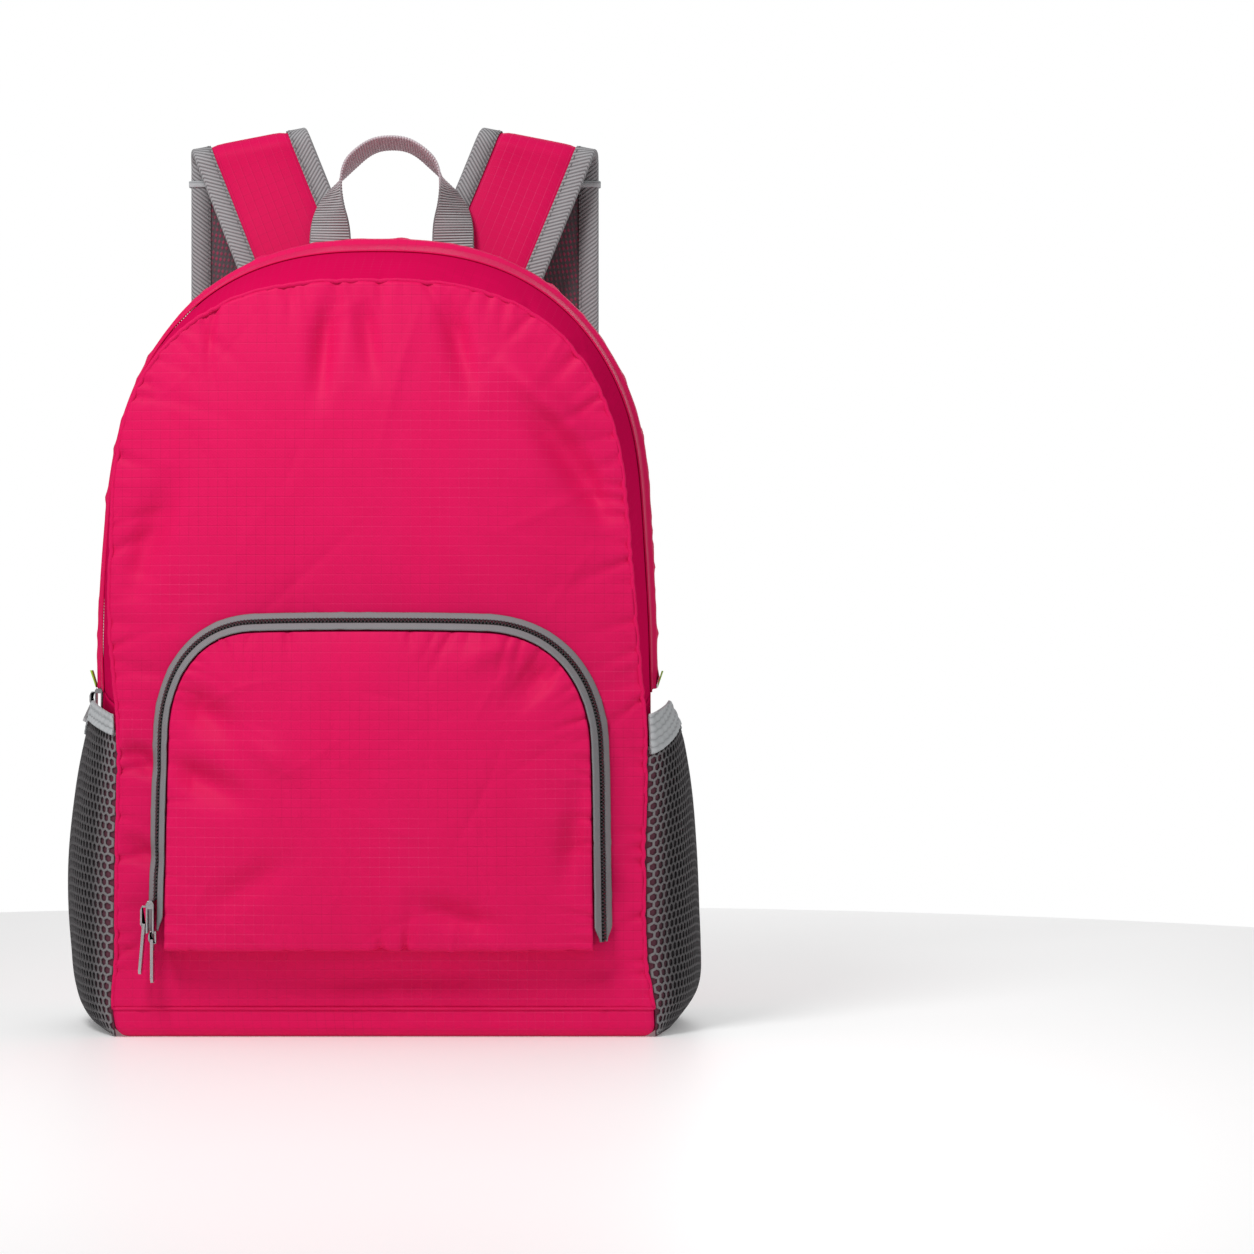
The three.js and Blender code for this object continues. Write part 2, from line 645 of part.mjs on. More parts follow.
const BAND_WIDTH = 2 * POCKET_TAPE + POCKET_COIL;
const BAND_SLOPE = Math.asin(POCKET_RISE / BAND_WIDTH);
const onPocket = (x, z) => frontSkin(x, z) - GAP - WALL;

// A point of the zip band: across climbs it, out stands off it.
function bandPoint(share, across, out) {
  const point = pocketEdge.getPointAt(share);
  const tangent = pocketEdge.getTangentAt(share);
  const inward = across * Math.cos(BAND_SLOPE) - out * Math.sin(BAND_SLOPE);
  point.x += tangent.z * inward;
  point.z -= tangent.x * inward;
  const climb = across * Math.sin(BAND_SLOPE) + out * Math.cos(BAND_SLOPE);
  return point.setY(onPocket(point.x, point.z) - climb);
}

const BAND_STEPS = 28;
const bandShareAt = (height) => (height - POCKET_FOOT) / pocketEdge.getLength();
const FOOT_SHARE = bandShareAt(POCKET_FOOT + BAND_FOOT);
const COIL_SHARE = bandShareAt(SLIDER_FOOT + SLIDER_LENGTH + GAP);
const INNER_FOOT_SHARE = bandShareAt(SLIDER_FOOT + WALL + GAP);
const bandStations = even(BAND_STEPS, FOOT_SHARE, 1 - FOOT_SHARE);
const stationsFrom = (foot) => [foot, ...bandStations.filter((share) => share > foot)];
add("pocket_tape_outer", GREY_TAPE,
  swept(bar(0, POCKET_TAPE - GAP, -WALL / 2, WALL / 2), bandStations, bandPoint));
add("pocket_tape_inner", GREY_TAPE,
  swept(bar(POCKET_TAPE + POCKET_COIL + GAP, BAND_WIDTH, -WALL / 2, WALL / 2),
    stationsFrom(INNER_FOOT_SHARE), bandPoint));
add("pocket_coil", DARK_COIL,
  swept(bar(POCKET_TAPE, POCKET_TAPE + POCKET_COIL, -WALL / 2, POCKET_COIL_HEIGHT - WALL / 2),
    stationsFrom(COIL_SHARE), bandPoint));

const POCKET_SHOULDER = 0.34;
const POCKET_ROUNDNESS = 4;
const pocketRim = (share) => bandPoint(share, BAND_WIDTH + 2 * WALL, 0);
const rimFoot = FOOT_SHARE * 0.5;
const rimPart = (from, to) => (share) => pocketRim(mix(from, to, share));
const pocketFoot = (share) => pocketRim(rimFoot).lerp(pocketRim(1 - rimFoot), share);
const pocketPatch = patch(pocketFoot, rimPart(rimFoot, POCKET_SHOULDER),
  rimPart(POCKET_SHOULDER, 1 - POCKET_SHOULDER), rimPart(1 - rimFoot, 1 - POCKET_SHOULDER));

// The pocket's skin over a share of its own grid, with a lip turned under at its foot
const LIP_ROWS = rowsOf(["row", "rise", "drop", "in_y", "in_z"], [
  [0, 0.03, 0, 0, 1],
  [1, 0.6, 1, 0, 1],
  [2, 0.93, 0.4, 0.7, 0.7],
]);
const POCKET_COLUMNS = 15;
const POCKET_ROWS = 13;

function pocketSkin(u, v) {
  const point = pocketPatch(u, v);
  const side = 1 - Math.abs(2 * u - 1) ** CROWN_POWER;
  const crown = side * (1 - (1 - v) ** POCKET_ROUNDNESS) * (1 - v ** POCKET_ROUNDNESS);
  const dents = dentAt(POCKET_FOLDS, point.x - POCKET_SHIFT, point.z - POCKET_FOOT,
    POCKET_WIDTH, POCKET_HEIGHT) * clamp(SEAM_FADE * crown, 0, 1);
  const rise = POCKET_RISE + POCKET_BULGE * crown;
  return point.setY(onPocket(point.x, point.z) - rise + dents);
}

function pocketSurface(depth) {
  return (u, v) => {
    const row = Math.round(v * POCKET_ROWS);
    const lip = LIP_ROWS[row];
    if (!lip) {
      const above = (row - LIP_ROWS.length + 1) / (POCKET_ROWS - LIP_ROWS.length + 1);
      const point = pocketSkin(u, above);
      return point.setY(point.y + depth);
    }
    const point = pocketSkin(u, 0);
    const root = onPocket(point.x, point.z) + WALL;
    point.y = mix(root, point.y, lip.rise) + depth * lip.in_y;
    point.z += depth * lip.in_z - LIP_DROP * lip.drop;
    return point;
  };
}
add("front_pocket", CLOTH,
  wall(POCKET_COLUMNS, POCKET_ROWS, pocketSurface(0), pocketSurface(WALL)));

// The slider stands edge-on at the zip's left foot, where the tapes part.
const coilFoot = bandPoint(COIL_SHARE, POCKET_TAPE + POCKET_COIL / 2, POCKET_COIL_HEIGHT / 2);
const sliderPlace = vector(coilFoot.x - POCKET_COIL / 2, coilFoot.y - SLIDER_LIFT, SLIDER_FOOT);
add("pocket_slider", STEEL, joined(sliderBody(SLIDER_LENGTH), outerBail, lowBail))
  .position.copy(sliderPlace);

const bailMiddle = half + BAIL_ROOM / 2;
const seat = BAIL_WIRE + PULL_BAR / 2 + 2 * GAP;
const outerHinge = vector(-bailMiddle, 0, bailFoot + seat).add(sliderPlace);
const lowHinge = vector(half - BAIL_ROOM / 2, 0, seat - LOW_BAIL_HEIGHT + BAIL_WIRE).add(sliderPlace);
const outerPull = add("pull_outer", STEEL, pullGeometry(PULL_LENGTH));
outerPull.position.copy(outerHinge);
outerPull.rotation.y = radians(PULL_LEAN);
add("pull_inner", STEEL, pullGeometry(LOW_PULL_LENGTH)).position.copy(lowHinge);

// The main zip's slider rests at the left end, with its pull on the outside of the elastic.
const mainEnd = gussetPoint(overTop[0], ZIP_BACK, half + GAP);
const mainPlace = vector(mainEnd.x, mainEnd.y, mainEnd.z - MAIN_SLIDER_LENGTH - GAP);
add("main_slider", STEEL, joined(sliderBody(MAIN_SLIDER_LENGTH), mainBail)).position.copy(mainPlace);
const mainPull = add("main_pull", STEEL, pullGeometry(MAIN_PULL_LENGTH));
mainPull.position.copy(vector(-bailMiddle, 0, mainBailFoot + seat).add(mainPlace));
mainPull.rotation.y = radians(MAIN_PULL_LEAN);

// The net side pockets, each with an elastic rim
const NET_SEAM = 0.012;
const NET_ROUNDNESS = 0.6;
function netPoint(side, back, up, out) {
  const rim = NET_HEIGHT * read(RIM, "back", "up", back);
  const height = mix(GAP, rim, up);
  const between = clamp((back - NET_SEAM) / (1 - 2 * NET_SEAM), 0, 1);
  const stand = NET_BULGE * read(NET_PROFILE, "up", side < 0 ? "left" : "right", up)
    * Math.sin(Math.PI * between) ** NET_ROUNDNESS;
  const point = sidePoint(side, back, height);
  point.x += side * (stand + 2 * GAP + out);
  return point;
}

const NET_COLUMNS = 12;
const NET_ROWS = 11;
const bandShare = (back, band) => (ELASTIC_WIDTH * read(RIM, "back", band, back)) / NET_HEIGHT;

function addNetPocket(side, net, elastic, band) {
  const surface = (out) => (u, v) => {
    const back = mix(NET_SEAM, 1 - NET_SEAM, u);
    const below = (NET_ROWS * v) / (NET_ROWS - 1);
    const up = below > 1 ? 1 : below * (1 - bandShare(back, band));
    return netPoint(side, back, up, out);
  };
  add(net, NET, wall(NET_COLUMNS, NET_ROWS, surface(NET_WALL), surface(0)));
  const place = (back, across, out) =>
    netPoint(side, back, 1 - across * bandShare(back, band), NET_WALL + GAP + out);
  add(elastic, LIGHT_ELASTIC,
    swept(bar(1, 0, 0, ELASTIC_WALL), even(NET_COLUMNS, NET_SEAM, 1 - NET_SEAM), place));
}
addNetPocket(-1, "net_left", "elastic_left", "left_band");
addNetPocket(1, "net_right", "elastic_right", "right_band");

// The grab handle: webbing whose flat side faces front at its feet and up at its top
const HANDLE_PATH = rowsOf(["side", "up"], [
  [-0.97, 0],
  [-0.98, 0.2],
  [-0.97, 0.4],
  [-0.95, 0.62],
  [-0.82, 0.77],
  [-0.62, 0.89],
  [-0.3, 0.98],
]);
const handleSides = HANDLE_PATH.map(({ side, up }) => [side, up]);
const handleMirror = handleSides.map(([side, up]) => [-side, up]).reverse();
const handleDepth = backSkin(0, HANDLE_SEWN) + GAP + HANDLE_WALL / 2;
const handleCurve = new THREE.CatmullRomCurve3([...handleSides, [0, 1], ...handleMirror].map(
  ([side, up]) => vector((side * HANDLE_SPREAD) / 2, handleDepth, mix(HANDLE_SEWN, HANDLE_TOP, up))));

function handlePoint(share, across, out) {
  const tangent = handleCurve.getTangentAt(share);
  const level = vector(tangent.z, 0, -tangent.x).normalize();
  const nearTop = 1 - Math.abs(2 * share - 1);
  const turn = -radians(HANDLE_TILT) * smooth((nearTop - HANDLE_TWIST_FROM) / HANDLE_TWIST_OVER);
  const wide = level.multiplyScalar(Math.cos(turn)).add(vector(0, Math.sin(turn), 0));
  const normal = tangent.clone().cross(wide);
  return handleCurve.getPointAt(share).addScaledVector(wide, across).addScaledVector(normal, out);
}
const HANDLE_STEPS = 28;
const handleHalf = HANDLE_WIDTH / 2;
add("grab_handle", GREY_TAPE, swept(bar(-handleHalf, handleHalf, -HANDLE_WALL / 2, HANDLE_WALL / 2),
  even(HANDLE_STEPS), handlePoint));

// The shoulder straps rise from the back, fold over a level crease and hang down behind
const FOLD_TILT = radians(STRAP_LEAN / 2);
const creaseHeight = STRAP_TOP - STRAP_FOLD_RADIUS - STRAP_EDGE - BINDING_WALL;
const rise = (creaseHeight - STRAP_SEWN) / Math.cos(radians(STRAP_LEAN));
const strapDepth = handleDepth + HANDLE_WALL / 2 + GAP + STRAP_PADDING + GAP;

// A point of a strap: along from its sewn end, across towards its outer edge, out of its face.
function strapPoint(side, along, across, out) {
  const lean = radians(STRAP_LEAN);
  const beyond = along - rise;
  const right = Math.sin(lean) * beyond + Math.cos(lean) * across;
  const up = Math.cos(lean) * beyond - Math.sin(lean) * across;
  const level = right * Math.cos(FOLD_TILT) - up * Math.sin(FOLD_TILT);
  const past = right * Math.sin(FOLD_TILT) + up * Math.cos(FOLD_TILT);
  const turn = clamp(past / STRAP_FOLD_RADIUS, 0, Math.PI);
  const left = past - turn * STRAP_FOLD_RADIUS;
  const reach = STRAP_FOLD_RADIUS + out;
  const high = past < 0 ? past : reach * Math.sin(turn) - left;
  const deep = STRAP_FOLD_RADIUS - reach * Math.cos(turn);
  const x = level * Math.cos(FOLD_TILT) + high * Math.sin(FOLD_TILT);
  const z = creaseHeight - level * Math.sin(FOLD_TILT) + high * Math.cos(FOLD_TILT);
  const lay = STRAP_SETBACK * smooth((z - STRAP_SEWN) / (creaseHeight - STRAP_SEWN));
  const still = past < 0 ? lay : STRAP_SETBACK;
  return vector(side * (STRAP_SPREAD / 2 + x), strapDepth + still + deep, z);
}

const arcStart = rise - (STRAP_WIDTH / 2) * Math.tan(FOLD_TILT);
const arcEnd = rise + Math.PI * STRAP_FOLD_RADIUS + (STRAP_WIDTH / 2) * Math.tan(FOLD_TILT);
const RISE_STEPS = 3;
const FOLD_STEPS = 12;
const HANG_STEPS = 4;
const strapStations = [...even(RISE_STEPS, 0, arcStart),
  ...even(FOLD_STEPS, arcStart, arcEnd).slice(1), ...even(HANG_STEPS, arcEnd, STRAP_LENGTH).slice(1)];
const strapHalf = STRAP_WIDTH / 2 - BINDING_WALL - GAP;
const flatHalf = STRAP_WIDTH / 2 - BINDING_WIDTH - GAP;
const padHalf = flatHalf - STRAP_PADDING;

function padSection(out) {
  return [[-strapHalf, out * GAP], [strapHalf, out * GAP], [strapHalf, out * STRAP_EDGE],
    [flatHalf, out * STRAP_EDGE], [padHalf, out * STRAP_PADDING],
    [-padHalf, out * STRAP_PADDING], [-flatHalf, out * STRAP_EDGE], [-strapHalf, out * STRAP_EDGE]];
}

function bindingSection(edge) {
  const inner = STRAP_EDGE + 2 * GAP;
  const outer = inner + BINDING_WALL;
  const far = STRAP_WIDTH / 2;
  const near = far - BINDING_WIDTH;
  return [[near, inner], [far - BINDING_WALL, inner], [far - BINDING_WALL, -inner],
    [near, -inner], [near, -outer], [far, -outer], [far, outer], [near, outer]]
    .map(([across, out]) => [edge * across, out]);
}

for (const [name, side] of [["left", -1], ["right", 1]]) {
  const place = (along, across, out) => strapPoint(side, along, across, out);
  add("strap_" + name, CLOTH, swept(padSection(1), strapStations, place));
  add("strap_net_" + name, NET, swept(padSection(-1), strapStations, place));
  add("binding_outer_" + name, GREY_TAPE, swept(bindingSection(1), strapStations, place));
  add("binding_inner_" + name, GREY_TAPE, swept(bindingSection(-1), strapStations, place));
}

// A slim keeper band goes once round each strap below its fold.
function addKeeper(name, side) {
  const middle = arcEnd + KEEPER_DROP;
  const inner = STRAP_PADDING + GAP;
  const wide = STRAP_WIDTH / 2 + GAP;
  const loop = (u, v, wallOut) => {
    const corner = Math.floor(u * 4 + 0.5) % 4;
    const [a, b] = [[-1, -1], [1, -1], [1, 1], [-1, 1]][corner];
    const along = middle + KEEPER_WIDTH * v;
    return strapPoint(side, along, a * (wide + wallOut), b * (inner + wallOut));
  };
  add(name, LIGHT_ELASTIC, wall(4, 1, (u, v) => loop(u, v, BINDING_WALL), (u, v) => loop(u, v, 0),
    true));
}
addKeeper("keeper_left", -1);
addKeeper("keeper_right", 1);

// The adjuster hangs below the strap's end, and webbing runs from it to the base
const lockSlot = (LOCK_HEIGHT - 3 * LOCK_BAR) / 2;
function lockGeometry() {
  const wide = LOCK_WIDTH / 2;
  const slot = wide - LOCK_RAIL;
  const slots = [0, 1].map((k) => {
    const foot = LOCK_BAR + k * (LOCK_BAR + lockSlot);
    return bar(-slot, slot, foot, foot + lockSlot);
  });
  return plateOf(bar(-wide, wide, 0, LOCK_HEIGHT), slots, LOCK_THICKNESS);
}

// Webbing along a path, its width kept as level as the path lets it be
function webbingGeometry(path) {
  const curve = new THREE.CatmullRomCurve3(path, false, "centripetal");
  const place = (share, across, out) => {
    const tangent = curve.getTangent(share);
    const wide = vector(1, 0, 0).addScaledVector(tangent, -tangent.x).normalize();
    const normal = tangent.clone().cross(wide);
    return curve.getPoint(share).addScaledVector(wide, across).addScaledVector(normal, out);
  };
  const edge = WEBBING_WIDTH / 2;
  return swept(bar(-edge, edge, -WEBBING_WALL / 2, WEBBING_WALL / 2),
    even(2 * (path.length - 1)), place);
}

const WEBBING_SEWN = 24;
const TURN_STEPS = 4;
const WEBBING_FALL = rowsOf(["down", "back"], [
  [0.5, 0.35],
  [0.85, 0.86],
]);
function addAdjuster(name, side) {
  const end = strapPoint(side, STRAP_LENGTH, 0, 0);
  const off = LOCK_THICKNESS / 2 + WEBBING_WALL / 2 + GAP;
  const foot = end.z - LOCK_HEIGHT - 2 * LOCK_BAR;
  const at = (deep, up) => vector(end.x, end.y + deep, foot + up);
  const turn = (up, from, to) => even(TURN_STEPS, from, to).map((angle) =>
    at(off * Math.cos(angle), up + off * Math.sin(angle)));
  const lock = add("adjuster_" + name, GREY_PLASTIC, lockGeometry());
  lock.position.set(end.x, end.y, foot);
  const upperBar = LOCK_HEIGHT - LOCK_BAR;
  const middleTop = 2 * LOCK_BAR + lockSlot;
  const strapFoot = end.z - foot - GAP;
  add("adjuster_loop_" + name, GREY_TAPE, webbingGeometry([at(-off, strapFoot),
    ...turn(upperBar, -Math.PI, 0), at(off, strapFoot)]));
  const landing = sidePoint(side, 1, WEBBING_SEWN).x - side * WEBBING_WIDTH;
  const skin = GAP + WEBBING_WALL / 2
    + backSkin(landing - (side * WEBBING_WIDTH) / 2, WEBBING_SEWN + WEBBING_WIDTH);
  const fall = ({ down, back }) => vector(mix(end.x, landing, down), mix(end.y, skin, back),
    mix(foot, WEBBING_SEWN, down));
  add("webbing_" + name, GREY_TAPE, webbingGeometry([at(off, middleTop - WEBBING_TAIL),
    at(off, middleTop - WEBBING_TAIL / 2), ...turn(middleTop, 0, Math.PI), at(-off, -LOCK_BAR),
    ...WEBBING_FALL.map(fall), fall({ down: 1, back: 1 })]));
}
addAdjuster("left", -1);
addAdjuster("right", 1);

export default bag;
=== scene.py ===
# %% [markdown]
# # An open ripstop daypack
#
# The bag is a light folding daypack: thin nylon ripstop cloth, an arched zip pocket on the
# front, net pockets at the sides, a webbing handle and two shoulder straps that fold over.
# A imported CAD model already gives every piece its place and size. This lesson dresses that
# model: each CAD solid is replaced by a finer piece on the same surface.

# %% The fixed frame
from math import asin, cos, pi, radians, sin, sqrt, tan

import bmesh
import bpy
import numpy as np
from mathutils import Matrix, Vector


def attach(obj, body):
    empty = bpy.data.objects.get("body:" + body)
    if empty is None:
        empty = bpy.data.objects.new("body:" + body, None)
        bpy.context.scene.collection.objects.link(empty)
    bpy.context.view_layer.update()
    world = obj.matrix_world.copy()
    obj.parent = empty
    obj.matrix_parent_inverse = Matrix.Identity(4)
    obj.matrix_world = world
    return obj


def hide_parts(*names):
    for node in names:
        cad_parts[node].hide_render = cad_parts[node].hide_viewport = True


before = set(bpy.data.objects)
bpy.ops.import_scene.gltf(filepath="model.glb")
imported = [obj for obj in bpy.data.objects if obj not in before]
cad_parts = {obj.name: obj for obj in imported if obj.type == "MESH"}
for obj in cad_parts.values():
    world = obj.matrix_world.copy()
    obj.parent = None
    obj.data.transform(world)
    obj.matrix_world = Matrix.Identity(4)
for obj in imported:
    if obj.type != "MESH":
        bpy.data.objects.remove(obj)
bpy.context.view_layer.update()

# %% [markdown]
# ## The camera
#
# The photograph looks straight along +Y from far away, a little to the right of the bag. A long
# lens far off could be guessed by eye, but the bag's base line and its top give the height of
# the lens, and the missing perspective gives its distance, so those numbers are used here.

# %% Camera
EYE = (0.141, -2.285, 0.228)
VIEW_WIDTH = 0.6967
VIEW_DISTANCE = 2.2
SENSOR_WIDTH = 36
camera = bpy.data.objects.new("camera", bpy.data.cameras.new("camera"))
bpy.context.collection.objects.link(camera)
camera.data.sensor_width = SENSOR_WIDTH
camera.data.lens = SENSOR_WIDTH * VIEW_DISTANCE / VIEW_WIDTH
camera.location = EYE
camera.rotation_euler = (pi / 2, 0, 0)
bpy.context.scene.camera = camera
print("lens:", round(camera.data.lens, 1), "mm")

# %% [markdown]
# ## Light
#
# The bag was photographed on a white sweep in soft light. The camera sees the world as full
# white, but the world lights the bag at half that strength, so the ground goes white and the
# cloth keeps its shading. Three large area lamps model it: a key from the upper left, a weaker
# fill from the right, and one from behind that brightens the edges.

# %% Lamps and world
WORLD_LIGHT, WORLD_SEEN = 0.5, 1.0
LAMPS = (("key", (-0.34, -0.78, 1.1), (0, 0, 0.44), 0.4, 9),
         ("fill", (1.3, -1.4, 0.8), (0, 0, 0.3), 1.2, 2),
         ("rim", (0.3, 1.4, 1.0), (0, 0, 0.2), 1.2, 5))
for name, place, target, size, power in LAMPS:
    light = bpy.data.lights.new(name, "AREA")
    light.shape, light.size, light.energy = "DISK", size, power
    holder = bpy.data.objects.new(name, light)
    bpy.context.collection.objects.link(holder)
    holder.location = place
    holder.rotation_euler = (Vector(target) - Vector(place)).to_track_quat("-Z", "Y").to_euler()

world = bpy.data.worlds.new("studio")
world.use_nodes = True
nodes, links = world.node_tree.nodes, world.node_tree.links
nodes["Background"].inputs["Color"].default_value = (1, 1, 1, 1)
seen, strength = nodes.new("ShaderNodeLightPath"), nodes.new("ShaderNodeMapRange")
strength.inputs["To Min"].default_value = WORLD_LIGHT
strength.inputs["To Max"].default_value = WORLD_SEEN
links.new(seen.outputs["Is Camera Ray"], strength.inputs["Value"])
links.new(strength.outputs[0], nodes["Background"].inputs["Strength"])
bpy.context.scene.world = world
bpy.context.scene.view_settings.view_transform = "Standard"
print("lamps:", len(LAMPS))

# %% [markdown]
# ## Writing shader maths as expressions
#
# A weave is a small formula: waves, masks and mixes. Wiring Math nodes by hand hides that
# formula, so a socket is wrapped in a class whose operators add the nodes.

# %% A socket that can be added, multiplied and shaped
class Value:
    def __init__(self, finish, socket):
        self.finish, self.socket = finish, socket

    def maths(self, operation, *values):
        return self.finish.node("ShaderNodeMath", {"operation": operation},
                                dict(enumerate(values)))

    def __rsub__(self, other):
        return self.maths("SUBTRACT", other, self)

    def wave(self, pitch):
        """A sine whose size is nothing at every pitch and 1 between."""
        return (self * (pi / pitch)).sine()


def operator(operation):
    return lambda value, *others: value.maths(operation, value, *others)


for name, operation in (
        ("__add__", "ADD"), ("__radd__", "ADD"), ("__sub__", "SUBTRACT"), ("__mul__", "MULTIPLY"),
        ("__rmul__", "MULTIPLY"), ("sine", "SINE"), ("size", "ABSOLUTE"), ("raised", "POWER"),
        ("most", "MAXIMUM"), ("least", "MINIMUM")):
    setattr(Value, name, operator(operation))

# %% A finish: one material and its nodes
PER_METRE = 1000


def colour(red, green, blue, kept=1.0):
    """A colour as the screen shows it, 0 to 255, with a share of its light kept."""
    return tuple(kept * (((c / 255 + 0.055) / 1.055) ** 2.4 if c > 10 else c / 3294)
                 for c in (red, green, blue)) + (1.0,)


class Finish:
    def __init__(self, name, roughness, metallic=0.0):
        self.material = bpy.data.materials.new(name)
        self.material.use_nodes = True
        self.tree = self.material.node_tree
        self.shader = self.tree.nodes["Principled BSDF"]
        self.give("Roughness", roughness)
        self.give("Metallic", metallic)

    def plug(self, socket, value):
        if isinstance(value, Value):
            self.tree.links.new(value.socket, socket)
        else:
            socket.default_value = colour(*value) if isinstance(value, tuple) else value

    def give(self, name, value):
        self.plug(self.shader.inputs[name], value)

    def node(self, kind, settings, sockets, out=0):
        made = self.tree.nodes.new(kind)
        for name, value in settings.items():
            setattr(made, name, value)
        for name, value in sockets.items():
            self.plug(made.inputs[name], value)
        return Value(self, made.outputs[out])

    def split(self, vector):
        return [self.node("ShaderNodeSeparateXYZ", {}, {0: vector}, out) for out in range(3)]

    def flat(self):
        """Millimetres along and across the cloth, from the piece's own UV map."""
        along, across, _ = self.split(self.node("ShaderNodeUVMap", {"uv_map": "cloth"}, {}))
        return along * PER_METRE, across * PER_METRE

    def place(self):
        return self.node("ShaderNodeTexCoord", {}, {}, "Object")

    def noise(self, scale, detail):
        return self.node("ShaderNodeTexNoise", {},
                         {"Vector": self.place(), "Scale": scale, "Detail": detail})

    def mixed(self, share, first, second):
        return self.node("ShaderNodeMix", {"data_type": "RGBA"},
                         {0: share, 6: first, 7: second}, 2)

    def bumped(self, height, distance, strength):
        self.give("Normal", self.node("ShaderNodeBump", {}, {
            "Height": height, "Distance": distance, "Strength": strength}, "Normal"))

    def coloured(self, value):
        self.give("Base Color", value)


# %% [markdown]
# ## Ripstop cloth
#
# Ripstop has a stronger thread every five millimetres or so, both ways, which stops a tear. It
# shows as a faint grid: each cross thread is a lighter line with a dark groove beside it, each
# upright one is a fine darker line, and a small bright knot lies where they meet. The lighter
# lines and the bright knots are painted highlight where the raised threads catch the light, and
# the dark groove is painted shadow. Waves on the cloth's own UV map draw them, so the grid follows
# the cloth, and noise lets it come and go as it does on cloth in use. The gusset is a little
# duller, and its deeper colour is painted shade.

# %% Ripstop finish
RIPSTOP_CELL, FINE_WEAVE = 5.35, 0.9
THREAD_SHARPNESS, GROOVE_SHARPNESS, GROOVE_SHIFT = 4.6, 4, 0.45
CLOTH_ROUGHNESS, CLOTH_RELIEF, GROOVE_SHADE = 0.55, 0.00014, 0.7


def thread(way, sharpness):
    """1 on the line of every cell of the grid, falling to 0 beside it."""
    return (1 - way.wave(RIPSTOP_CELL).size() * sharpness).most(0)


def ripstop(name, base, shade, glow, gloss):
    cloth = Finish(name, CLOTH_ROUGHNESS)
    along, across = cloth.flat()
    upright, level = thread(along, THREAD_SHARPNESS), thread(across, THREAD_SHARPNESS)
    beside = thread(across - GROOVE_SHIFT, GROOVE_SHARPNESS)
    fine = (along.wave(FINE_WEAVE) * across.wave(FINE_WEAVE)) * 0.5 + 0.5
    patch = cloth.noise(15.0, 3.0)
    bright = ((patch - 0.4) * 3).most(0.3).least(0.8)
    dark = ((0.64 - patch) * 4).most(0.35).least(1.0)
    mottle = cloth.noise(60.0, 4.0)
    body = cloth.mixed(mottle * 0.55 + fine * 0.15, base, shade)
    # Painted highlight: the threads and their knots go over to the lighter glow colour.
    lit = cloth.mixed((upright * 0.12 + level * 0.26 + upright * level * 0.3) * bright, body, glow)
    # Painted shadow in the groove beside each cross thread; the upright lines go darker as well.
    cloth.coloured(cloth.mixed((beside * 0.38 + upright * 0.34) * dark, lit,
                               (*shade, GROOVE_SHADE)))
    height = (upright + level) * bright * 0.6 - beside * dark * 0.4 + fine * 0.14 + mottle * 0.3
    cloth.bumped(height, CLOTH_RELIEF, 0.8)
    cloth.give("Specular IOR Level", gloss)
    return cloth.material


PINK = ripstop("pink_ripstop", (218, 20, 90), (204, 12, 78), (240, 82, 136), 0.08)
# The gusset's copy has no gloss, and its darker colour is painted shade.
PINK_GUSSET_SHADED = ripstop("pink_gusset_shaded_cloth", (206, 12, 80), (194, 9, 70), (230, 66, 122), 0.0)
PINK_STRAP = ripstop("pink_strap_cloth", (210, 16, 84), (198, 12, 76), (240, 84, 138), 0.05)

# %% [markdown]
# ## Webbing, binding and elastic
#
# The tapes are all woven, but each weave has its own direction. The handle's webbing has bars
# across it and is painted paler and pinker at its top, as painted light on the top of its loop,
# the binding is a twill with slanting ribs, and the elastic has cords along its length. One
# helper makes them: a wave in a chosen direction gives the colour and the relief.

# %% Woven tape finishes
TAPE_ROUGHNESS, TAPE_GLOSS, TAPE_SOIL, STRAND_PITCH = 0.8, 0.3, 0.8, 0.42
# The pale pink of the light painted on the handle's top.
PAINTED_TOP_LIGHT = (232, 210, 218)


def woven_tape(name, light, dark, pitch, lean, depth, cross=0.0, power=0.8, painted_light_reach=0):
    """Ribs at a pitch in millimetres; they lean from 0, across the tape, to 90, along it."""
    tape = Finish(name, TAPE_ROUGHNESS)
    along, across = tape.flat()
    onward, aside = cos(radians(lean)), sin(radians(lean))
    rib = (along * onward + across * aside).wave(pitch).size().raised(power)
    strands = (across * onward - along * aside).wave(STRAND_PITCH * pitch).size()
    fuzz, soil = tape.noise(420.0, 3.0), tape.noise(30.0, 2.0)
    share = (rib * (0.86 - cross) + strands * cross + fuzz * 0.14).least(1.0)
    woven = tape.mixed(share, dark, light)
    # Painted light: the middle of the tape, at the handle's top, goes over to a pale pink.
    if painted_light_reach:
        pale = ((1 - along.size() * (1 / painted_light_reach)) * 3).most(0).least(0.6)
        woven = tape.mixed(pale, woven, PAINTED_TOP_LIGHT)
    tape.coloured(tape.mixed(soil * 0.35, woven, (*light, TAPE_SOIL)))
    tape.bumped(rib + strands * cross + fuzz * 0.1, depth, 0.9)
    tape.give("Specular IOR Level", TAPE_GLOSS)
    return tape.material


HANDLE_WEBBING = woven_tape("grey_handle_webbing", (190, 187, 189), (26, 24, 25), 1.75, 0,
                            0.0005, power=1.3, painted_light_reach=52)
STRAP_WEBBING = woven_tape("grey_strap_webbing", (154, 151, 153), (60, 56, 58), 1.75, 0,
                           0.0004, cross=0.1, power=1.0)
TWILL_BINDING = woven_tape("grey_twill_binding", (172, 171, 173), (66, 62, 65), 2.0, 38,
                           0.0004, cross=0.1, power=1.2)
ZIP_TAPE = woven_tape("grey_zip_tape", (136, 138, 140), (112, 113, 116), 0.8, 27, 0.00008)
PALE_ELASTIC = woven_tape("pale_elastic", (184, 187, 189), (118, 120, 123), 4.2, 90, 0.0003,
                          power=0.35)
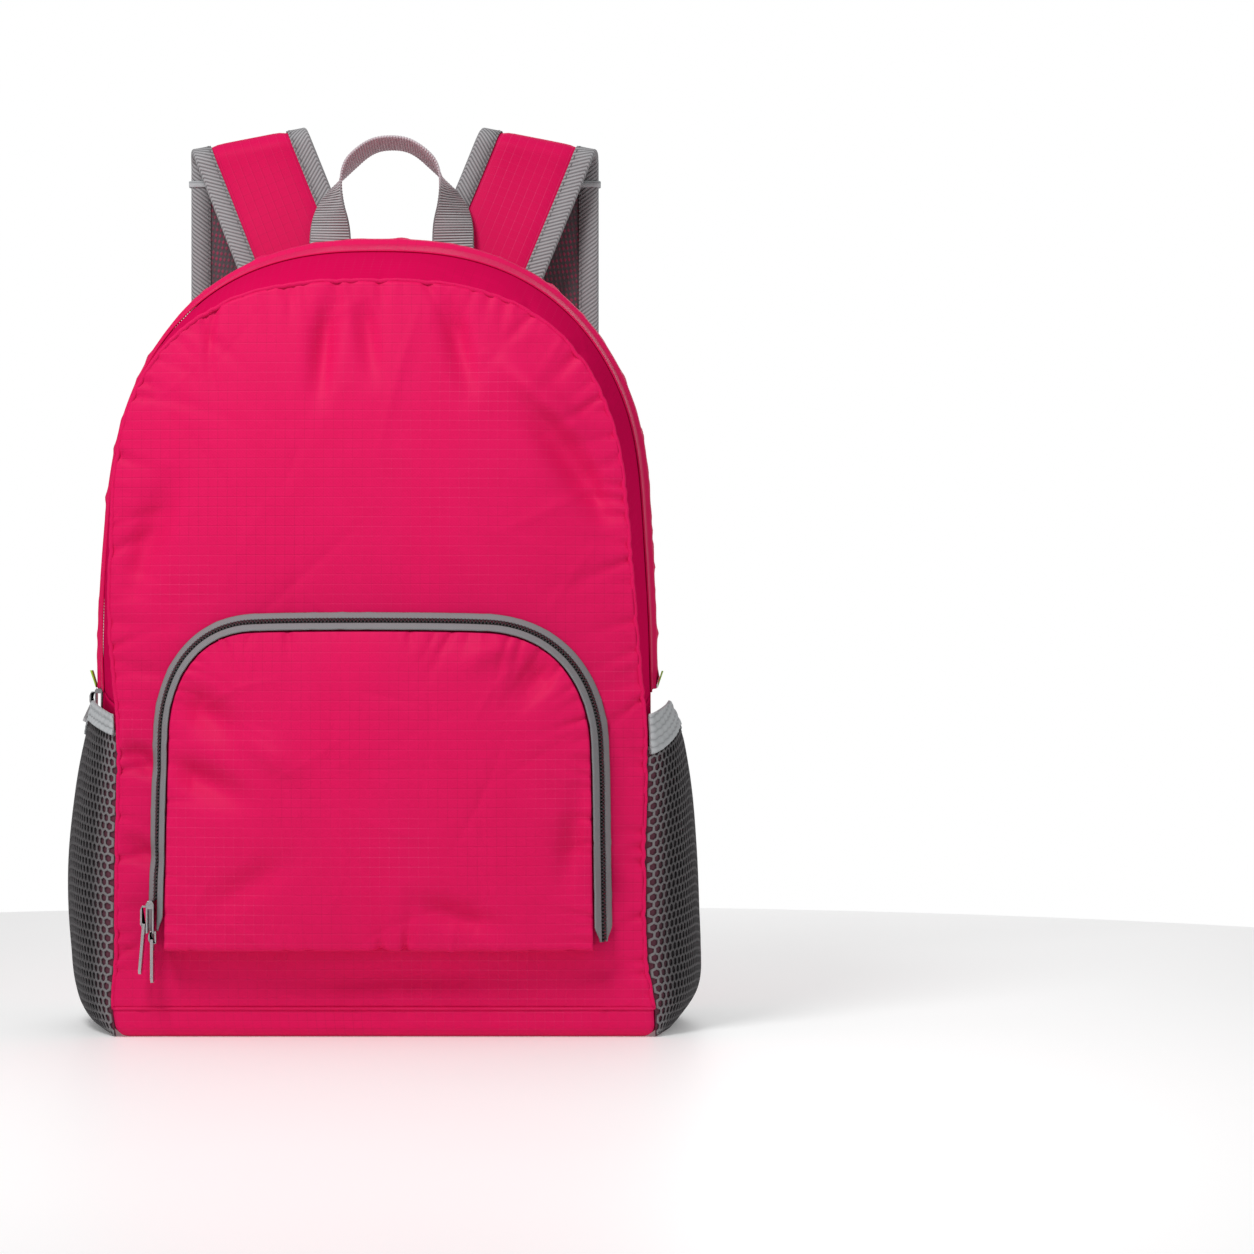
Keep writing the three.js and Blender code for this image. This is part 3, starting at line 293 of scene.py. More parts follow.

# %% [markdown]
# ## Net, coil, metal and plastic
#
# The net's cords are real geometry, so their finish only needs the twist of a knitted yarn. They
# are painted paler near the front seam, as painted highlight where the net catches the light. The
# coil is dark nylon with a soft gloss. The slider and its pulls are die-cast and plated, with fine
# scratches in their roughness, and the adjusters are moulded plastic with a faint grain.

# %% Net yarn, nylon, plated metal and moulded plastic
HIGHLIGHT_FROM, HIGHLIGHT_REACH = 0.066, 0.019
FINE_RELIEF, FLOOR_RELIEF, FLOOR_GLOW = 0.00005, 0.00001, 0.15


def plain_finish(name, light, dark, roughness, grain, metallic=0.0, depth=FINE_RELIEF,
                 spread=0.2):
    finish = Finish(name, roughness, metallic)
    speckle, cloud = finish.noise(grain, 4.0), finish.noise(grain / 12, 2.0)
    finish.coloured(finish.mixed(speckle * 0.5 + cloud * 0.5, dark, light))
    finish.give("Roughness", speckle * spread + (roughness - spread / 2))
    finish.bumped(speckle, depth, 0.6)
    return finish.material


def net_finish(name, light, dark, highlight):
    net = Finish(name, 0.75)
    speckle = net.noise(700.0, 3.0)
    # Painted highlight: the net goes over to its paler colour towards the front seam.
    near = ((-HIGHLIGHT_FROM - net.split(net.place())[1]) * (1 / HIGHLIGHT_REACH)).most(0).least(1.0)
    net.coloured(net.mixed(near, net.mixed(speckle, dark, light), highlight))
    net.bumped(speckle, FINE_RELIEF, 0.6)
    return net.material


def dotted_net(name, pink, dark):
    """Dark net over pink cloth: the pink shows as slanting dashes in the net's holes."""
    net = Finish(name, 0.85)
    along, across = net.flat()
    dashes = ((along + across).wave(2.9) * (along * 0.5 - across).wave(2.3)).most(0).raised(0.6)
    cloud = ((net.noise(90.0, 2.0) - 0.3) * 2.2).most(0.2).least(1.0)
    net.coloured(net.mixed(dashes * cloud, dark, pink))
    net.bumped(dashes, 0.0004, 0.8)
    return net.material


NET_YARN = net_finish("dark_net_yarn", (84, 81, 83), (46, 43, 45), (128, 124, 126))
NET_BACKING = net_finish("dark_net_backing", (46, 38, 42), (28, 23, 26), (92, 30, 52))
COIL_NYLON = plain_finish("dark_coil_nylon", (58, 58, 60), (20, 20, 22), 0.35, 500.0)
PLATED_METAL = plain_finish("plated_zip_metal", (196, 194, 196), (146, 143, 145), 0.28, 260.0,
                            metallic=1.0, spread=0.18)
MOULDED_PLASTIC = plain_finish("grey_moulded_plastic", (112, 110, 112), (92, 90, 92), 0.5, 400.0)
LIME = plain_finish("lime_tape", (166, 224, 62), (128, 200, 40), 0.7, 900.0)
GREY_THREAD = plain_finish("grey_thread", (128, 124, 127), (72, 68, 70), 0.7, 900.0)
FLOOR_PALE = plain_finish("pale_floor", (244, 244, 244), (242, 242, 242), 0.45, 3.0,
                          depth=FLOOR_RELIEF, spread=0.05)
FLOOR_PALE.node_tree.nodes["Principled BSDF"].inputs["Emission Strength"].default_value = FLOOR_GLOW
STRAP_NET = dotted_net("strap_net_cloth", (176, 34, 84), (76, 68, 72))
print("finishes:", len(bpy.data.materials))

# %% [markdown]
# ## The bag's own sizes
#
# The CAD source builds the bag from a few named sizes and short tables. The same ones are
# repeated here, in millimetres, so that each finer piece lies on the surface of the solid that it
# stands for. A table is read with a smooth curve through its rows.

# %% Sizes and tables
BODY_WIDTH, BODY_HEIGHT, BODY_DEPTH, SPRING_HEIGHT = 316, 449, 170, 250
BASE_BAND, BASE_EDGE_RADIUS, WALL, GAP = 16, 7, 1.2, 0.3
FRONT_BULGE, BACK_BULGE, CROWN_POWER = 12, 8, 2.6
PANEL_FOOT = BASE_BAND + GAP
METRE = 0.001
BOTH_SIDES = ((-1, "left"), (1, "right"))


def table(columns, rows):
    return {name: np.array([row[k] for row in rows], float) for k, name in enumerate(columns)}


SECTIONS = table(("back", "wide", "tall", "square"), (
    (0.0, 0.925, 0.936, 2.75), (0.2, 0.965, 0.965, 2.6), (0.42, 0.99, 0.99, 2.5),
    (0.55, 1.0, 1.0, 2.45), (0.8, 0.985, 0.985, 2.5), (1.0, 0.94, 0.955, 2.6)))
LEVELS = table(("up", "wide", "front_sway", "rear_sway"), (
    (0.0, 1.02, 0.044, 0.02), (0.036, 1.025, 0.036, 0.016), (0.1, 1.005, 0.026, 0.006),
    (0.22, 1.0, 0.025, -0.008), (0.38, 1.0, 0.03, -0.02), (0.5, 1.0, 0.0, -0.021),
    (0.64, 0.985, -0.012, -0.018), (0.8, 1.0, -0.02, -0.008), (1.0, 1.0, -0.012, -0.006)))


def held(share):
    return np.clip(share, 0, 1)


def smooth(share):
    share = held(share)
    return share * share * (3 - 2 * share)


def mix(first, last, share):
    return first + (last - first) * share


def read(rows, where, name, at):
    """One column of a table, read smoothly between its rows."""
    xs, ys = rows[where], rows[name]
    at = np.asarray(at, float)
    k = np.clip(np.searchsorted(xs, at, side="right"), 1, len(xs) - 1)
    before, after = np.maximum(k - 2, 0), np.minimum(k + 1, len(xs) - 1)
    span, step = xs[k] - xs[k - 1], ys[k] - ys[k - 1]
    leaving = (ys[k] - ys[before]) / (xs[k] - xs[before]) * span
    arriving = (ys[after] - ys[k - 1]) / (xs[after] - xs[k - 1]) * span
    t = held((at - xs[k - 1]) / span)
    bend = t * (leaving + arriving - 2 * step)
    return ys[k - 1] + t * (leaving + t * (3 * step - 2 * leaving - arriving + bend))


# %% Vectors and lines
def together(*values):
    return np.broadcast_arrays(*(np.asarray(value, float) for value in values))


def vectors(x, y, z):
    return np.stack(together(x, y, z), -1)


def unit(v):
    return v / np.maximum(np.linalg.norm(v, axis=-1, keepdims=True), 1e-9)


def lengths(line):
    """The length along a line at each of its points, from 0."""
    return np.concatenate([[0], np.cumsum(np.linalg.norm(np.diff(line, axis=0), axis=1))])


def along_line(where, marks, line):
    """Places on a line between its points, which lie at the given marks."""
    return np.stack([np.interp(where, marks, line[:, k]) for k in range(3)], -1)


# %% The body as hoops over the top
def sway_at(back, height):
    up = height / BODY_HEIGHT
    front, rear = (read(LEVELS, "up", name, up) for name in ("front_sway", "rear_sway"))
    return BODY_WIDTH / 2 * (front + (rear - front) * held(2 * np.asarray(back, float)))


def top_at(back):
    return BODY_HEIGHT * read(SECTIONS, "back", "tall", back)


def half_width(back, height):
    half = (BODY_WIDTH / 2 * read(SECTIONS, "back", "wide", back)
            * read(LEVELS, "up", "wide", height / BODY_HEIGHT))
    top = top_at(back)
    power = read(SECTIONS, "back", "square", back)
    share = held((height - SPRING_HEIGHT) / (top - SPRING_HEIGHT))
    return half * (1 - share ** power) ** (1 / power)


def side_point(side, back, height):
    height = np.asarray(height, float)
    return vectors(sway_at(back, height) + side * half_width(back, height),
                   BODY_DEPTH * (np.asarray(back, float) - 0.5), height)


HOOP_STEPS, LEG_STEPS = 901, 200
HOOP_BACKS = np.linspace(0, 1, 121)
HOOP_SHARES = np.linspace(0, 1, HOOP_STEPS)


def hoop(back):
    top = top_at(back)
    power = read(SECTIONS, "back", "square", back)
    leg = np.linspace(PANEL_FOOT, SPRING_HEIGHT, LEG_STEPS)
    angle = np.linspace(pi, 0, HOOP_STEPS)[1:-1]
    arch = SPRING_HEIGHT + (top - SPRING_HEIGHT) * np.sin(angle) ** (2 / power)
    line = np.concatenate([side_point(-1, back, leg),
                           side_point(np.sign(np.cos(angle)), back, arch),
                           side_point(1, back, leg)[::-1]])
    marks = lengths(line)
    return along_line(HOOP_SHARES, marks / marks[-1], line)


HOOPS = np.stack([hoop(back) for back in HOOP_BACKS])
MIDDLE_HOOP = HOOPS[len(HOOP_BACKS) // 2]
HOOP_LENGTH = np.linalg.norm(np.diff(MIDDLE_HOOP, axis=0), axis=1).sum()
HOOP_NORMALS = np.cross(np.gradient(HOOPS, axis=1), np.gradient(HOOPS, axis=0))
HOOP_NORMALS[:, [0, -1], 2] = 0
HOOP_NORMALS = unit(HOOP_NORMALS)
print("hoop length:", round(HOOP_LENGTH, 1), "mm")


def between(grid, share, back):
    """A value of a grid over shares and backs, between its four nearest entries."""
    column = held(np.asarray(share, float)) * (len(HOOP_SHARES) - 1)
    row = held(np.asarray(back, float)) * (len(HOOP_BACKS) - 1)
    c, r = (np.minimum(n.astype(int), top) for n, top in
            ((column, len(HOOP_SHARES) - 2), (row, len(HOOP_BACKS) - 2)))
    u, v = (column - c)[..., None], (row - r)[..., None]
    return ((grid[r, c] * (1 - u) + grid[r, c + 1] * u) * (1 - v)
            + (grid[r + 1, c] * (1 - u) + grid[r + 1, c + 1] * u) * v)


def gusset_point(share, back, out=0.0):
    share, back, out = together(share, back, out)
    return between(HOOPS, share, back) + unit(between(HOOP_NORMALS, share, back)) * out[..., None]


# %% [markdown]
# ## From a grid to a piece
#
# Nearly every piece of a bag is a flat cut of cloth or a strip of tape. So one helper makes
# them all: it creates a grid with Blender's own operator, keeps the flat cloth position of each
# corner as a UV map for the weave, and then moves the corners onto a surface. A strip whose
# section closes on itself has its two long edges welded and its ends capped.

# %% A grid laid on a surface
CLOTH, WELD = 0.8, 1e-6


def moved(bm, places):
    for corner, place in zip(bm.verts, (places * METRE).tolist()):
        corner.co = place


def smoothed(bm):
    for face in bm.faces:
        face.smooth = True


def laid(name, columns, rows, surface, finish, node="", flat=None, tube=False,
         thickness=0.0):
    bm = bmesh.new()
    bmesh.ops.create_grid(bm, x_segments=columns, y_segments=rows, size=0.5)
    spots = np.array([corner.co for corner in bm.verts])
    u, v = spots[:, 0] + 0.5, spots[:, 1] + 0.5
    places = surface(u, v)
    if flat is None:
        order = np.lexsort((np.round(u * columns), np.round(v * rows)))
        net = places[order].reshape(rows + 1, columns + 1, 3)
        along = np.zeros((rows + 1, columns + 1))
        across = along.copy()
        along[:, 1:] = np.cumsum(np.linalg.norm(np.diff(net, axis=1), axis=2), axis=1)
        across[1:] = np.cumsum(np.linalg.norm(np.diff(net, axis=0), axis=2), axis=0)
        cloth = np.empty((len(u), 2))
        cloth[order] = np.stack([along - along[:, columns // 2:columns // 2 + 1], across],
                                -1).reshape(-1, 2)
    else:
        cloth = np.stack(flat(u, v, places), -1)
    cloth = (cloth * METRE).tolist()
    layer = bm.loops.layers.uv.new("cloth")
    bm.verts.index_update()
    for face in bm.faces:
        for loop in face.loops:
            loop[layer].uv = cloth[loop.vert.index]
    smoothed(bm)
    moved(bm, places)
    if tube:
        bmesh.ops.remove_doubles(bm, verts=bm.verts, dist=WELD)
        bmesh.ops.holes_fill(bm, edges=[edge for edge in bm.edges if edge.is_boundary], sides=0)
        bmesh.ops.recalc_face_normals(bm, faces=bm.faces)
    return finished(name, bm, finish, node, thickness)


def finished(name, bm, finish, node="", thickness=0.0, body="bag"):
    """The piece of a mesh, with its finish and body, and the CAD node that it replaces."""
    mesh = bpy.data.meshes.new(name)
    bm.to_mesh(mesh)
    bm.free()
    piece = bpy.data.objects.new(name, mesh)
    bpy.context.collection.objects.link(piece)
    mesh.materials.append(finish)
    if thickness:
        wall = piece.modifiers.new("wall", "SOLIDIFY")
        wall.thickness, wall.offset = thickness * METRE, -1
    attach(piece, body)
    if node:
        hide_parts(node)
    print(f"{name}: {len(mesh.polygons)} faces")
    return piece


# %% [markdown]
# ## Folds, gathers and creases
#
# Thin coated nylon hardly stretches, so it puckers wherever it is sewn: short dents start at the
# seam and fade out into the panel. Longer folds run where the panel is slack, and packing leaves
# sharp creases. A cloth simulation would draw its own folds, so the ones that the photograph
# shows are written down instead: tables for the long folds, seeded lists for the small ones.

# %% Long folds, seam gathers and fine creases
FOLD_DEPTH, SEAM_FADE = 10, 4
CREASE_REACH, CREASE_WIDTH = (14, 60), 1.7
FOLD_COLUMNS = ("side", "up", "lean", "long", "wide", "deep")
FRONT_FOLDS = table(FOLD_COLUMNS, (
    (-0.17, 0.86, 6, 0.2, 0.02, 0.7), (-0.02, 0.87, -8, 0.16, 0.02, 0.5),
    (0.3, 0.86, -14, 0.18, 0.022, 0.6), (0.72, 0.7, -35, 0.26, 0.03, 0.9),
    (0.6, 0.79, -48, 0.2, 0.025, -0.6), (-0.78, 0.62, 22, 0.22, 0.03, 0.6),
    (-0.84, 0.35, -58, 0.12, 0.02, 0.8), (-0.84, 0.235, -62, 0.12, 0.02, 0.8),
    (-0.86, 0.16, -60, 0.1, 0.02, 0.6), (0.8, 0.2, -40, 0.2, 0.03, 0.5),
    (0.1, 0.07, 88, 0.4, 0.025, 0.5)))
POCKET_FOLDS = table(FOLD_COLUMNS, (
    (0.72, 0.84, 42, 0.4, 0.03, 0.7), (0.5, 0.9, 62, 0.35, 0.03, -0.4),
    (-0.72, 0.7, -55, 0.5, 0.04, 0.8), (-0.76, 0.51, -67, 0.44, 0.035, 0.8),
    (-0.5, 0.6, -60, 0.4, 0.03, -0.4), (0.86, 0.35, 12, 0.5, 0.03, 0.6),
    (-0.55, 0.2, 60, 0.4, 0.035, 0.4), (0.35, 0.1, -70, 0.4, 0.03, 0.6)))


def dent_at(folds, x, z, width, height):
    total = np.zeros_like(x)
    for side, up, lean, long, wide, deep in zip(*folds.values()):
        right, rise = x - side * width / 2, z - up * height
        sine, cosine = sin(radians(lean)), cos(radians(lean))
        reach = held(abs(right * sine + rise * cosine) / (long * height / 2))
        hollow = np.exp(-((right * cosine - rise * sine) / (wide * width)) ** 2)
        total += FOLD_DEPTH * deep * (1 - reach ** 2) ** 2 * hollow
    return total


def gathers(seed, length, pitch, reach, deep):
    """A list of small dents along a seam: where, how wide, how long, how deep, how slanted."""
    dice = np.random.default_rng(seed)
    at = np.cumsum(dice.uniform(0.6, 1.4, int(length / pitch)) * pitch)
    count = len(at)
    return np.stack([at, dice.uniform(1.3, 3.0, count), reach * dice.uniform(0.35, 1.3, count),
                     deep * dice.uniform(-0.35, 1.0, count), dice.normal(0, 0.3, count)], 1)


def gathered(dents, along, away):
    """How far the cloth is drawn in at a place along a seam and away from it."""
    total, away = np.zeros_like(along), np.maximum(away, 0)
    for at, wide, reach, deep, slant in dents:
        across = (along - at - slant * away) / (wide + 0.09 * away)
        total += deep * np.exp(-across ** 2 - (away / reach) ** 1.4)
    return total


def creased(seed, count, deep, x, z):
    """Sharp creases scattered over a panel, as folding leaves them."""
    dice = np.random.default_rng(seed)
    total = np.zeros_like(x)
    for _ in range(count):
        middle = dice.uniform([x.min(), z.min()], [x.max(), z.max()])
        turn, half = dice.uniform(0, pi), dice.uniform(*CREASE_REACH)
        height, bend = deep * dice.uniform(-1, 1), dice.normal(0, 0.004)
        right, rise = x - middle[0], z - middle[1]
        along = right * cos(turn) + rise * sin(turn)
        across = rise * cos(turn) - right * sin(turn) + bend * along ** 2
        fade = held(1 - (along / half) ** 2)
        total += height * fade * np.exp(-abs(across) / CREASE_WIDTH / (0.4 + fade))
    return total


def nearest(x, z, line):
    """Which point of a line lies nearest to each place of a panel, and how near."""
    gaps = np.hypot(x[:, None] - line[:, 0], z[:, None] - line[:, 2])
    return gaps.argmin(1), gaps.min(1)


def from_seam(x, z, back):
    """How far along the hoop's seam, and how far from it, each place of a panel is."""
    at, away = nearest(x, z, HOOPS[-back])
    return HOOP_SHARES[at] * HOOP_LENGTH, away


FRONT_GATHERS = gathers(3, HOOP_LENGTH, 8.0, 26, 2.4)
REAR_GATHERS = gathers(4, HOOP_LENGTH, 13.0, 22, 1.2)
print("front gathers:", len(FRONT_GATHERS))

# %% [markdown]
# ## The front and back panels
#
# Each panel is one cut of cloth, flat where it was cut and crowned where the bag swells. A patch
# stretched between the four stretches of its outline gives a grid that follows the arch, so no
# cloth is lost at the corners. The front panel takes long folds, gathers and creases. The back
# panel lies flat against the wearer, so it has no long folds, and its gathers and creases are
# fewer and shallower.

# %% Panels
SHOULDER_SHARE, SEAM_CALM = 0.345, 20


def patch(bottom, left, top, right):
    """A patch stretched between the four sides of an outline."""
    ends = np.array([0.0, 1.0])
    (low_left, low_right), (top_left, top_right) = bottom(ends), top(ends)

    def place(u, v):
        a, b = u[:, None], v[:, None]
        corners = ((low_left * (1 - a) + low_right * a) * (1 - b)
                   + (top_left * (1 - a) + top_right * a) * b)
        return (bottom(u) * (1 - b) + top(u) * b + left(v) * (1 - a) + right(v) * a) - corners
    return place


def outline_patch(edge, foot, shoulder):
    """A patch inside an arched edge that is read by its share, from foot to foot."""
    def part(first, last):
        return lambda share: edge(mix(first, last, share))

    first, last = edge(np.array([foot, 1 - foot]))
    return patch(lambda share: first + (last - first) * share[:, None], part(foot, shoulder),
                 part(shoulder, 1 - shoulder), part(1 - foot, 1 - shoulder))


def crown_at(back, x, z):
    top = top_at(back)
    middle = (PANEL_FOOT + top) / 2
    across = abs(x - sway_at(back, z)) / np.maximum(half_width(back, z), GAP)
    up = abs(z - middle) / (top - middle)
    return ((1 - held(across) ** CROWN_POWER) * (1 - held(up) ** CROWN_POWER))


def front_skin(x, z):
    crown = crown_at(0, x, z)
    dents = dent_at(FRONT_FOLDS, x, z, BODY_WIDTH, BODY_HEIGHT) * held(SEAM_FADE * crown)
    return -BODY_DEPTH / 2 - FRONT_BULGE * crown + dents


def back_skin(x, z):
    return BODY_DEPTH / 2 + BACK_BULGE * crown_at(1, x, z)


def back_at(x, z):
    return float(back_skin(np.array([float(x)]), np.array([float(z)]))[0])


def panel(back, skin, dents, *creases):
    inward = 1 - 2 * back
    stretched = outline_patch(lambda share: gusset_point(share, back), 0, SHOULDER_SHARE)

    def surface(u, v):
        places = stretched(1 - u if back else u, v)
        x, z = places[:, 0], places[:, 2]
        along, away = from_seam(x, z, back)
        places[:, 1] = (skin(x, z) + inward * gathered(dents, along, away)
                        + held(away / SEAM_CALM) * creased(*creases, x, z))
        return places
    return surface


def upright_cloth(u, v, places):
    return places[:, 0], places[:, 2]


for name, columns, rows, surface, node in (
        ("front_cloth", 170, 200, panel(0, front_skin, FRONT_GATHERS, 11, 70, 0.95), "front_panel"),
        ("back_cloth", 110, 130, panel(1, back_skin, REAR_GATHERS, 12, 40, 0.55), "back_panel")):
    laid(name, columns, rows, surface, PINK, node, upright_cloth, thickness=CLOTH)

# %% [markdown]
# ## The gusset
#
# A strip of cloth runs over the top between the two panels and down the sides. The main zip
# splits it, so it is two strips above the net pockets and one piece behind each of them. The
# gathers of the front seam go on across it, because both layers were drawn up by one thread.

# %% Gusset strips, sides and zip tape
MAIN_ZIP_END, MAIN_ZIP_SETBACK, TAPE_WIDTH, COIL_WIDTH, COIL_HEIGHT = 193, 88, 24, 5, 1.5
SEAM = (WALL + GAP) / BODY_DEPTH
ZIP_SHARE = (MAIN_ZIP_END - PANEL_FOOT) / HOOP_LENGTH
ZIP_BACK = MAIN_ZIP_SETBACK / BODY_DEPTH
TAPE_HALF = TAPE_WIDTH / 2 / BODY_DEPTH
ZIP_EDGE = TAPE_HALF + GAP / BODY_DEPTH


def strip(shares, backs, seed):
    """A stretch of gusset between two shares of the hoop and two depths."""
    def surface(u, v):
        share, back = mix(*shares, u), mix(*backs, v)
        along, away = share * HOOP_LENGTH, back * BODY_DEPTH
        out = (-0.5 * gathered(FRONT_GATHERS, along, away)
               - gathered(REAR_GATHERS, along, BODY_DEPTH - away))
        out += np.sin(pi * v) * creased(seed, 30, 0.55, along, away)
        return gusset_point(share, back, out)
    return surface


def hoop_cloth(shares, backs):
    return lambda u, v, places: (mix(*shares, u) * HOOP_LENGTH, mix(*backs, v) * BODY_DEPTH)


OVER_TOP = (ZIP_SHARE, 1 - ZIP_SHARE)
BELOW = ZIP_SHARE - GAP / HOOP_LENGTH
FRONT_STRIP, REAR_STRIP = (SEAM, ZIP_BACK - ZIP_EDGE), (ZIP_BACK + ZIP_EDGE, 1 - SEAM)
SIDES = (SEAM, 1 - SEAM)
for name, node, shares, backs, columns, rows, seed in (
        ("gusset_front_cloth", "gusset_front", OVER_TOP, FRONT_STRIP, 400, 26, 21),
        ("gusset_rear_cloth", "gusset_rear", OVER_TOP, REAR_STRIP, 300, 26, 22),
        ("side_left_cloth", "side_left", (0, BELOW), SIDES, 70, 70, 23),
        ("side_right_cloth", "side_right", (1 - BELOW, 1), SIDES, 70, 70, 24)):
    laid(name, columns, rows, strip(shares, backs, seed), PINK_GUSSET_SHADED, node,
         hoop_cloth(shares, backs), thickness=CLOTH)
TAPE_BACKS = (ZIP_BACK - TAPE_HALF, ZIP_BACK + TAPE_HALF)
laid("main_zip_tape_cloth", 300, 8,
     lambda u, v: gusset_point(mix(*OVER_TOP, u), mix(*TAPE_BACKS, v)), ZIP_TAPE,
     "main_zip_tape", hoop_cloth(OVER_TOP, TAPE_BACKS), thickness=CLOTH)

# %% [markdown]
# ## Zip teeth and stitches
#
# A coil zip is hundreds of small nylon loops, and a seam is hundreds of short stitches. Both are
# one small shape repeated along a line, so one helper sets down a bevelled cube for each.

# %% Rows of small bevelled blocks
BLOCK_BEVEL = 0.28


def bevelled(bm, edges, width, segments, clamped):
    bmesh.ops.bevel(bm, geom=edges, offset=width * METRE, segments=segments, profile=0.5,
                    affect="EDGES", material=-1, clamp_overlap=clamped)
    smoothed(bm)


def blocks(name, size, places, along, up, finish, slot, node=""):
    bm = bmesh.new()
    along = unit(along)
    across = unit(np.cross(up, along))
    up = np.cross(along, across)
    for place, *axes in zip(places * METRE, along, across, up):
        turned = Matrix([list(axis) for axis in axes]).transposed().to_4x4()
        scaled = turned @ Matrix.Diagonal((*size, 1))
        bmesh.ops.create_cube(bm, size=METRE, matrix=Matrix.Translation(place) @ scaled)
    bevelled(bm, bm.edges[:], BLOCK_BEVEL * min(size), 1, False)
    return finished(name, bm, finish, node)


SEAM_STEP = 0.002
MAIN_TOOTH, MAIN_PITCH = (1.15, COIL_WIDTH, COIL_HEIGHT - 0.2), 1.7


def hoop_line(back, out, shares, pitch):
    """Places on the gusset at an even pitch, with the seam's direction and the cloth's normal."""
    count = int((shares[1] - shares[0]) * HOOP_LENGTH / pitch)
    share = np.linspace(*shares, count)
    places = gusset_point(share, back, out)
    ahead, behind = (gusset_point(share + step, back, out) for step in (SEAM_STEP, -SEAM_STEP))
    return places, ahead - behind, gusset_point(share, back, out + 1) - places


blocks("main_zip_teeth", MAIN_TOOTH,
       *hoop_line(ZIP_BACK, GAP + COIL_HEIGHT / 2, OVER_TOP, MAIN_PITCH), COIL_NYLON, "zip_coil",
       "main_zip_coil")

# %% [markdown]
# ## The storm flap
#
# A folded strip of cloth is sewn to the front half of the gusset and hangs over the zip. Its free
# edge isn't held by anything, so it waves, and the photograph shows it as a dark wavy line along
# the bag's shoulder with a bright hem in front of it.

# %% Storm flap
FLAP_WIDTH, FLAP_OVERHANG, FLAP_WALL = 32, 7, 1
FLAP_ROOT, FLAP_STEP = FLAP_OVERHANG - FLAP_WIDTH, -COIL_WIDTH / 2 - FLAP_WALL
FLAP_LOW, FLAP_RAMP, FLAP_SWING = GAP + FLAP_WALL, 3, 0.8
FLAP_HIGH = GAP + COIL_HEIGHT + 2 * GAP + FLAP_WALL
FLAP_WAVES = gathers(31, HOOP_LENGTH, 24.0, 24, 2.0)
HEM_AT, HEM_WIDTH, HEM_RISE = 0.82, 0.02, 0.35


def flap_surface(u, v):
    share, across = mix(*OVER_TOP, u), mix(FLAP_ROOT, FLAP_OVERHANG, v)
    along = share * HOOP_LENGTH
    free = smooth(v * 1.6 - 0.6)
    raised = mix(FLAP_LOW, FLAP_HIGH, smooth((across - FLAP_STEP + FLAP_RAMP) / FLAP_RAMP))
    wave = gathered(FLAP_WAVES, along, (1 - v) * FLAP_WIDTH)
    ripple = 0.5 * gathered(FRONT_GATHERS, along, mix(50, 14, free))
    out = raised + np.maximum(wave + ripple, 0) * free
    out += HEM_RISE * np.exp(-((v - HEM_AT) / HEM_WIDTH) ** 2)
    return gusset_point(share, ZIP_BACK + (across + FLAP_SWING * wave * free) / BODY_DEPTH, out)


FLAP_BACKS = tuple(ZIP_BACK + across / BODY_DEPTH for across in (FLAP_ROOT, FLAP_OVERHANG))
laid("storm_flap", 420, 26, flap_surface, PINK, "zip_flap",
     hoop_cloth(OVER_TOP, FLAP_BACKS), thickness=FLAP_WALL)

# %% [markdown]
# ## Seams
#
# The panels are joined to the gusset by a narrow turned seam that stands up as a small ridge, and
# it is what draws the gathers. A thin tube along the seam, moved in and out with the gathers,
# gives that ridge.

# %% Seam ridges
RIDGE, RIDGE_LIFT, CIRCLE = 1.25, 0.2, 8


def ridge(back, dents):
    def surface(u, v):
        turn = 2 * pi * v
        drawn = gathered(dents, u * HOOP_LENGTH, np.zeros_like(u))
        away = RIDGE * np.cos(turn) / BODY_DEPTH
        middle = back + (-RIDGE / 2 if back else RIDGE / 2) / BODY_DEPTH
        return gusset_point(u, middle + away, RIDGE_LIFT + RIDGE * np.sin(turn) - 0.35 * drawn)
    return surface


for name, columns, *seam in (("front_seam", 500, 0, FRONT_GATHERS),
                             ("rear_seam", 360, 1, REAR_GATHERS)):
    laid(name, columns, CIRCLE, ridge(*seam), PINK, tube=True)

# %% [markdown]
# ## The base
#
# The base is a shallow tray: its floor carries the bag, and its turned-up band is sewn to the
# panels. Its girth goes round the four sides at one height, so a grid with one side for the
# girth and the other for the way from the middle of the floor to the band's top makes it all.

# %% Base tray
GIRTH_CORNERS = np.array([0, 9 / 28, 0.5, 23 / 28, 1])
GIRTH_ENDS = ((-1, 0), (1, 0), (1, 1), (-1, 1), (-1, 0))
GIRTH, FLOOR_PART, EDGE_PART, BAND_PART = 1000, 0.4, 0.35, 0.25
BASE_CLOTH_LONG, BASE_CLOTH_WIDE = 980, 40
BASE_GATHERS = gathers(41, GIRTH, 12.0, 9, 1.3)


def girth_point(share, height):
    places = np.zeros((len(share), 3))
    for k in range(4):
        here = (share >= GIRTH_CORNERS[k]) & (share <= GIRTH_CORNERS[k + 1])
        part = (share[here] - GIRTH_CORNERS[k]) / (GIRTH_CORNERS[k + 1] - GIRTH_CORNERS[k])
        (side, back), (next_side, next_back) = GIRTH_ENDS[k], GIRTH_ENDS[k + 1]
        if side == next_side:
            places[here] = side_point(side, mix(back, next_back, part), height[here])
        else:
            first = side_point(side, back, height[here])
            last = side_point(next_side, next_back, height[here])
            places[here] = first + (last - first) * part[:, None]
    return places


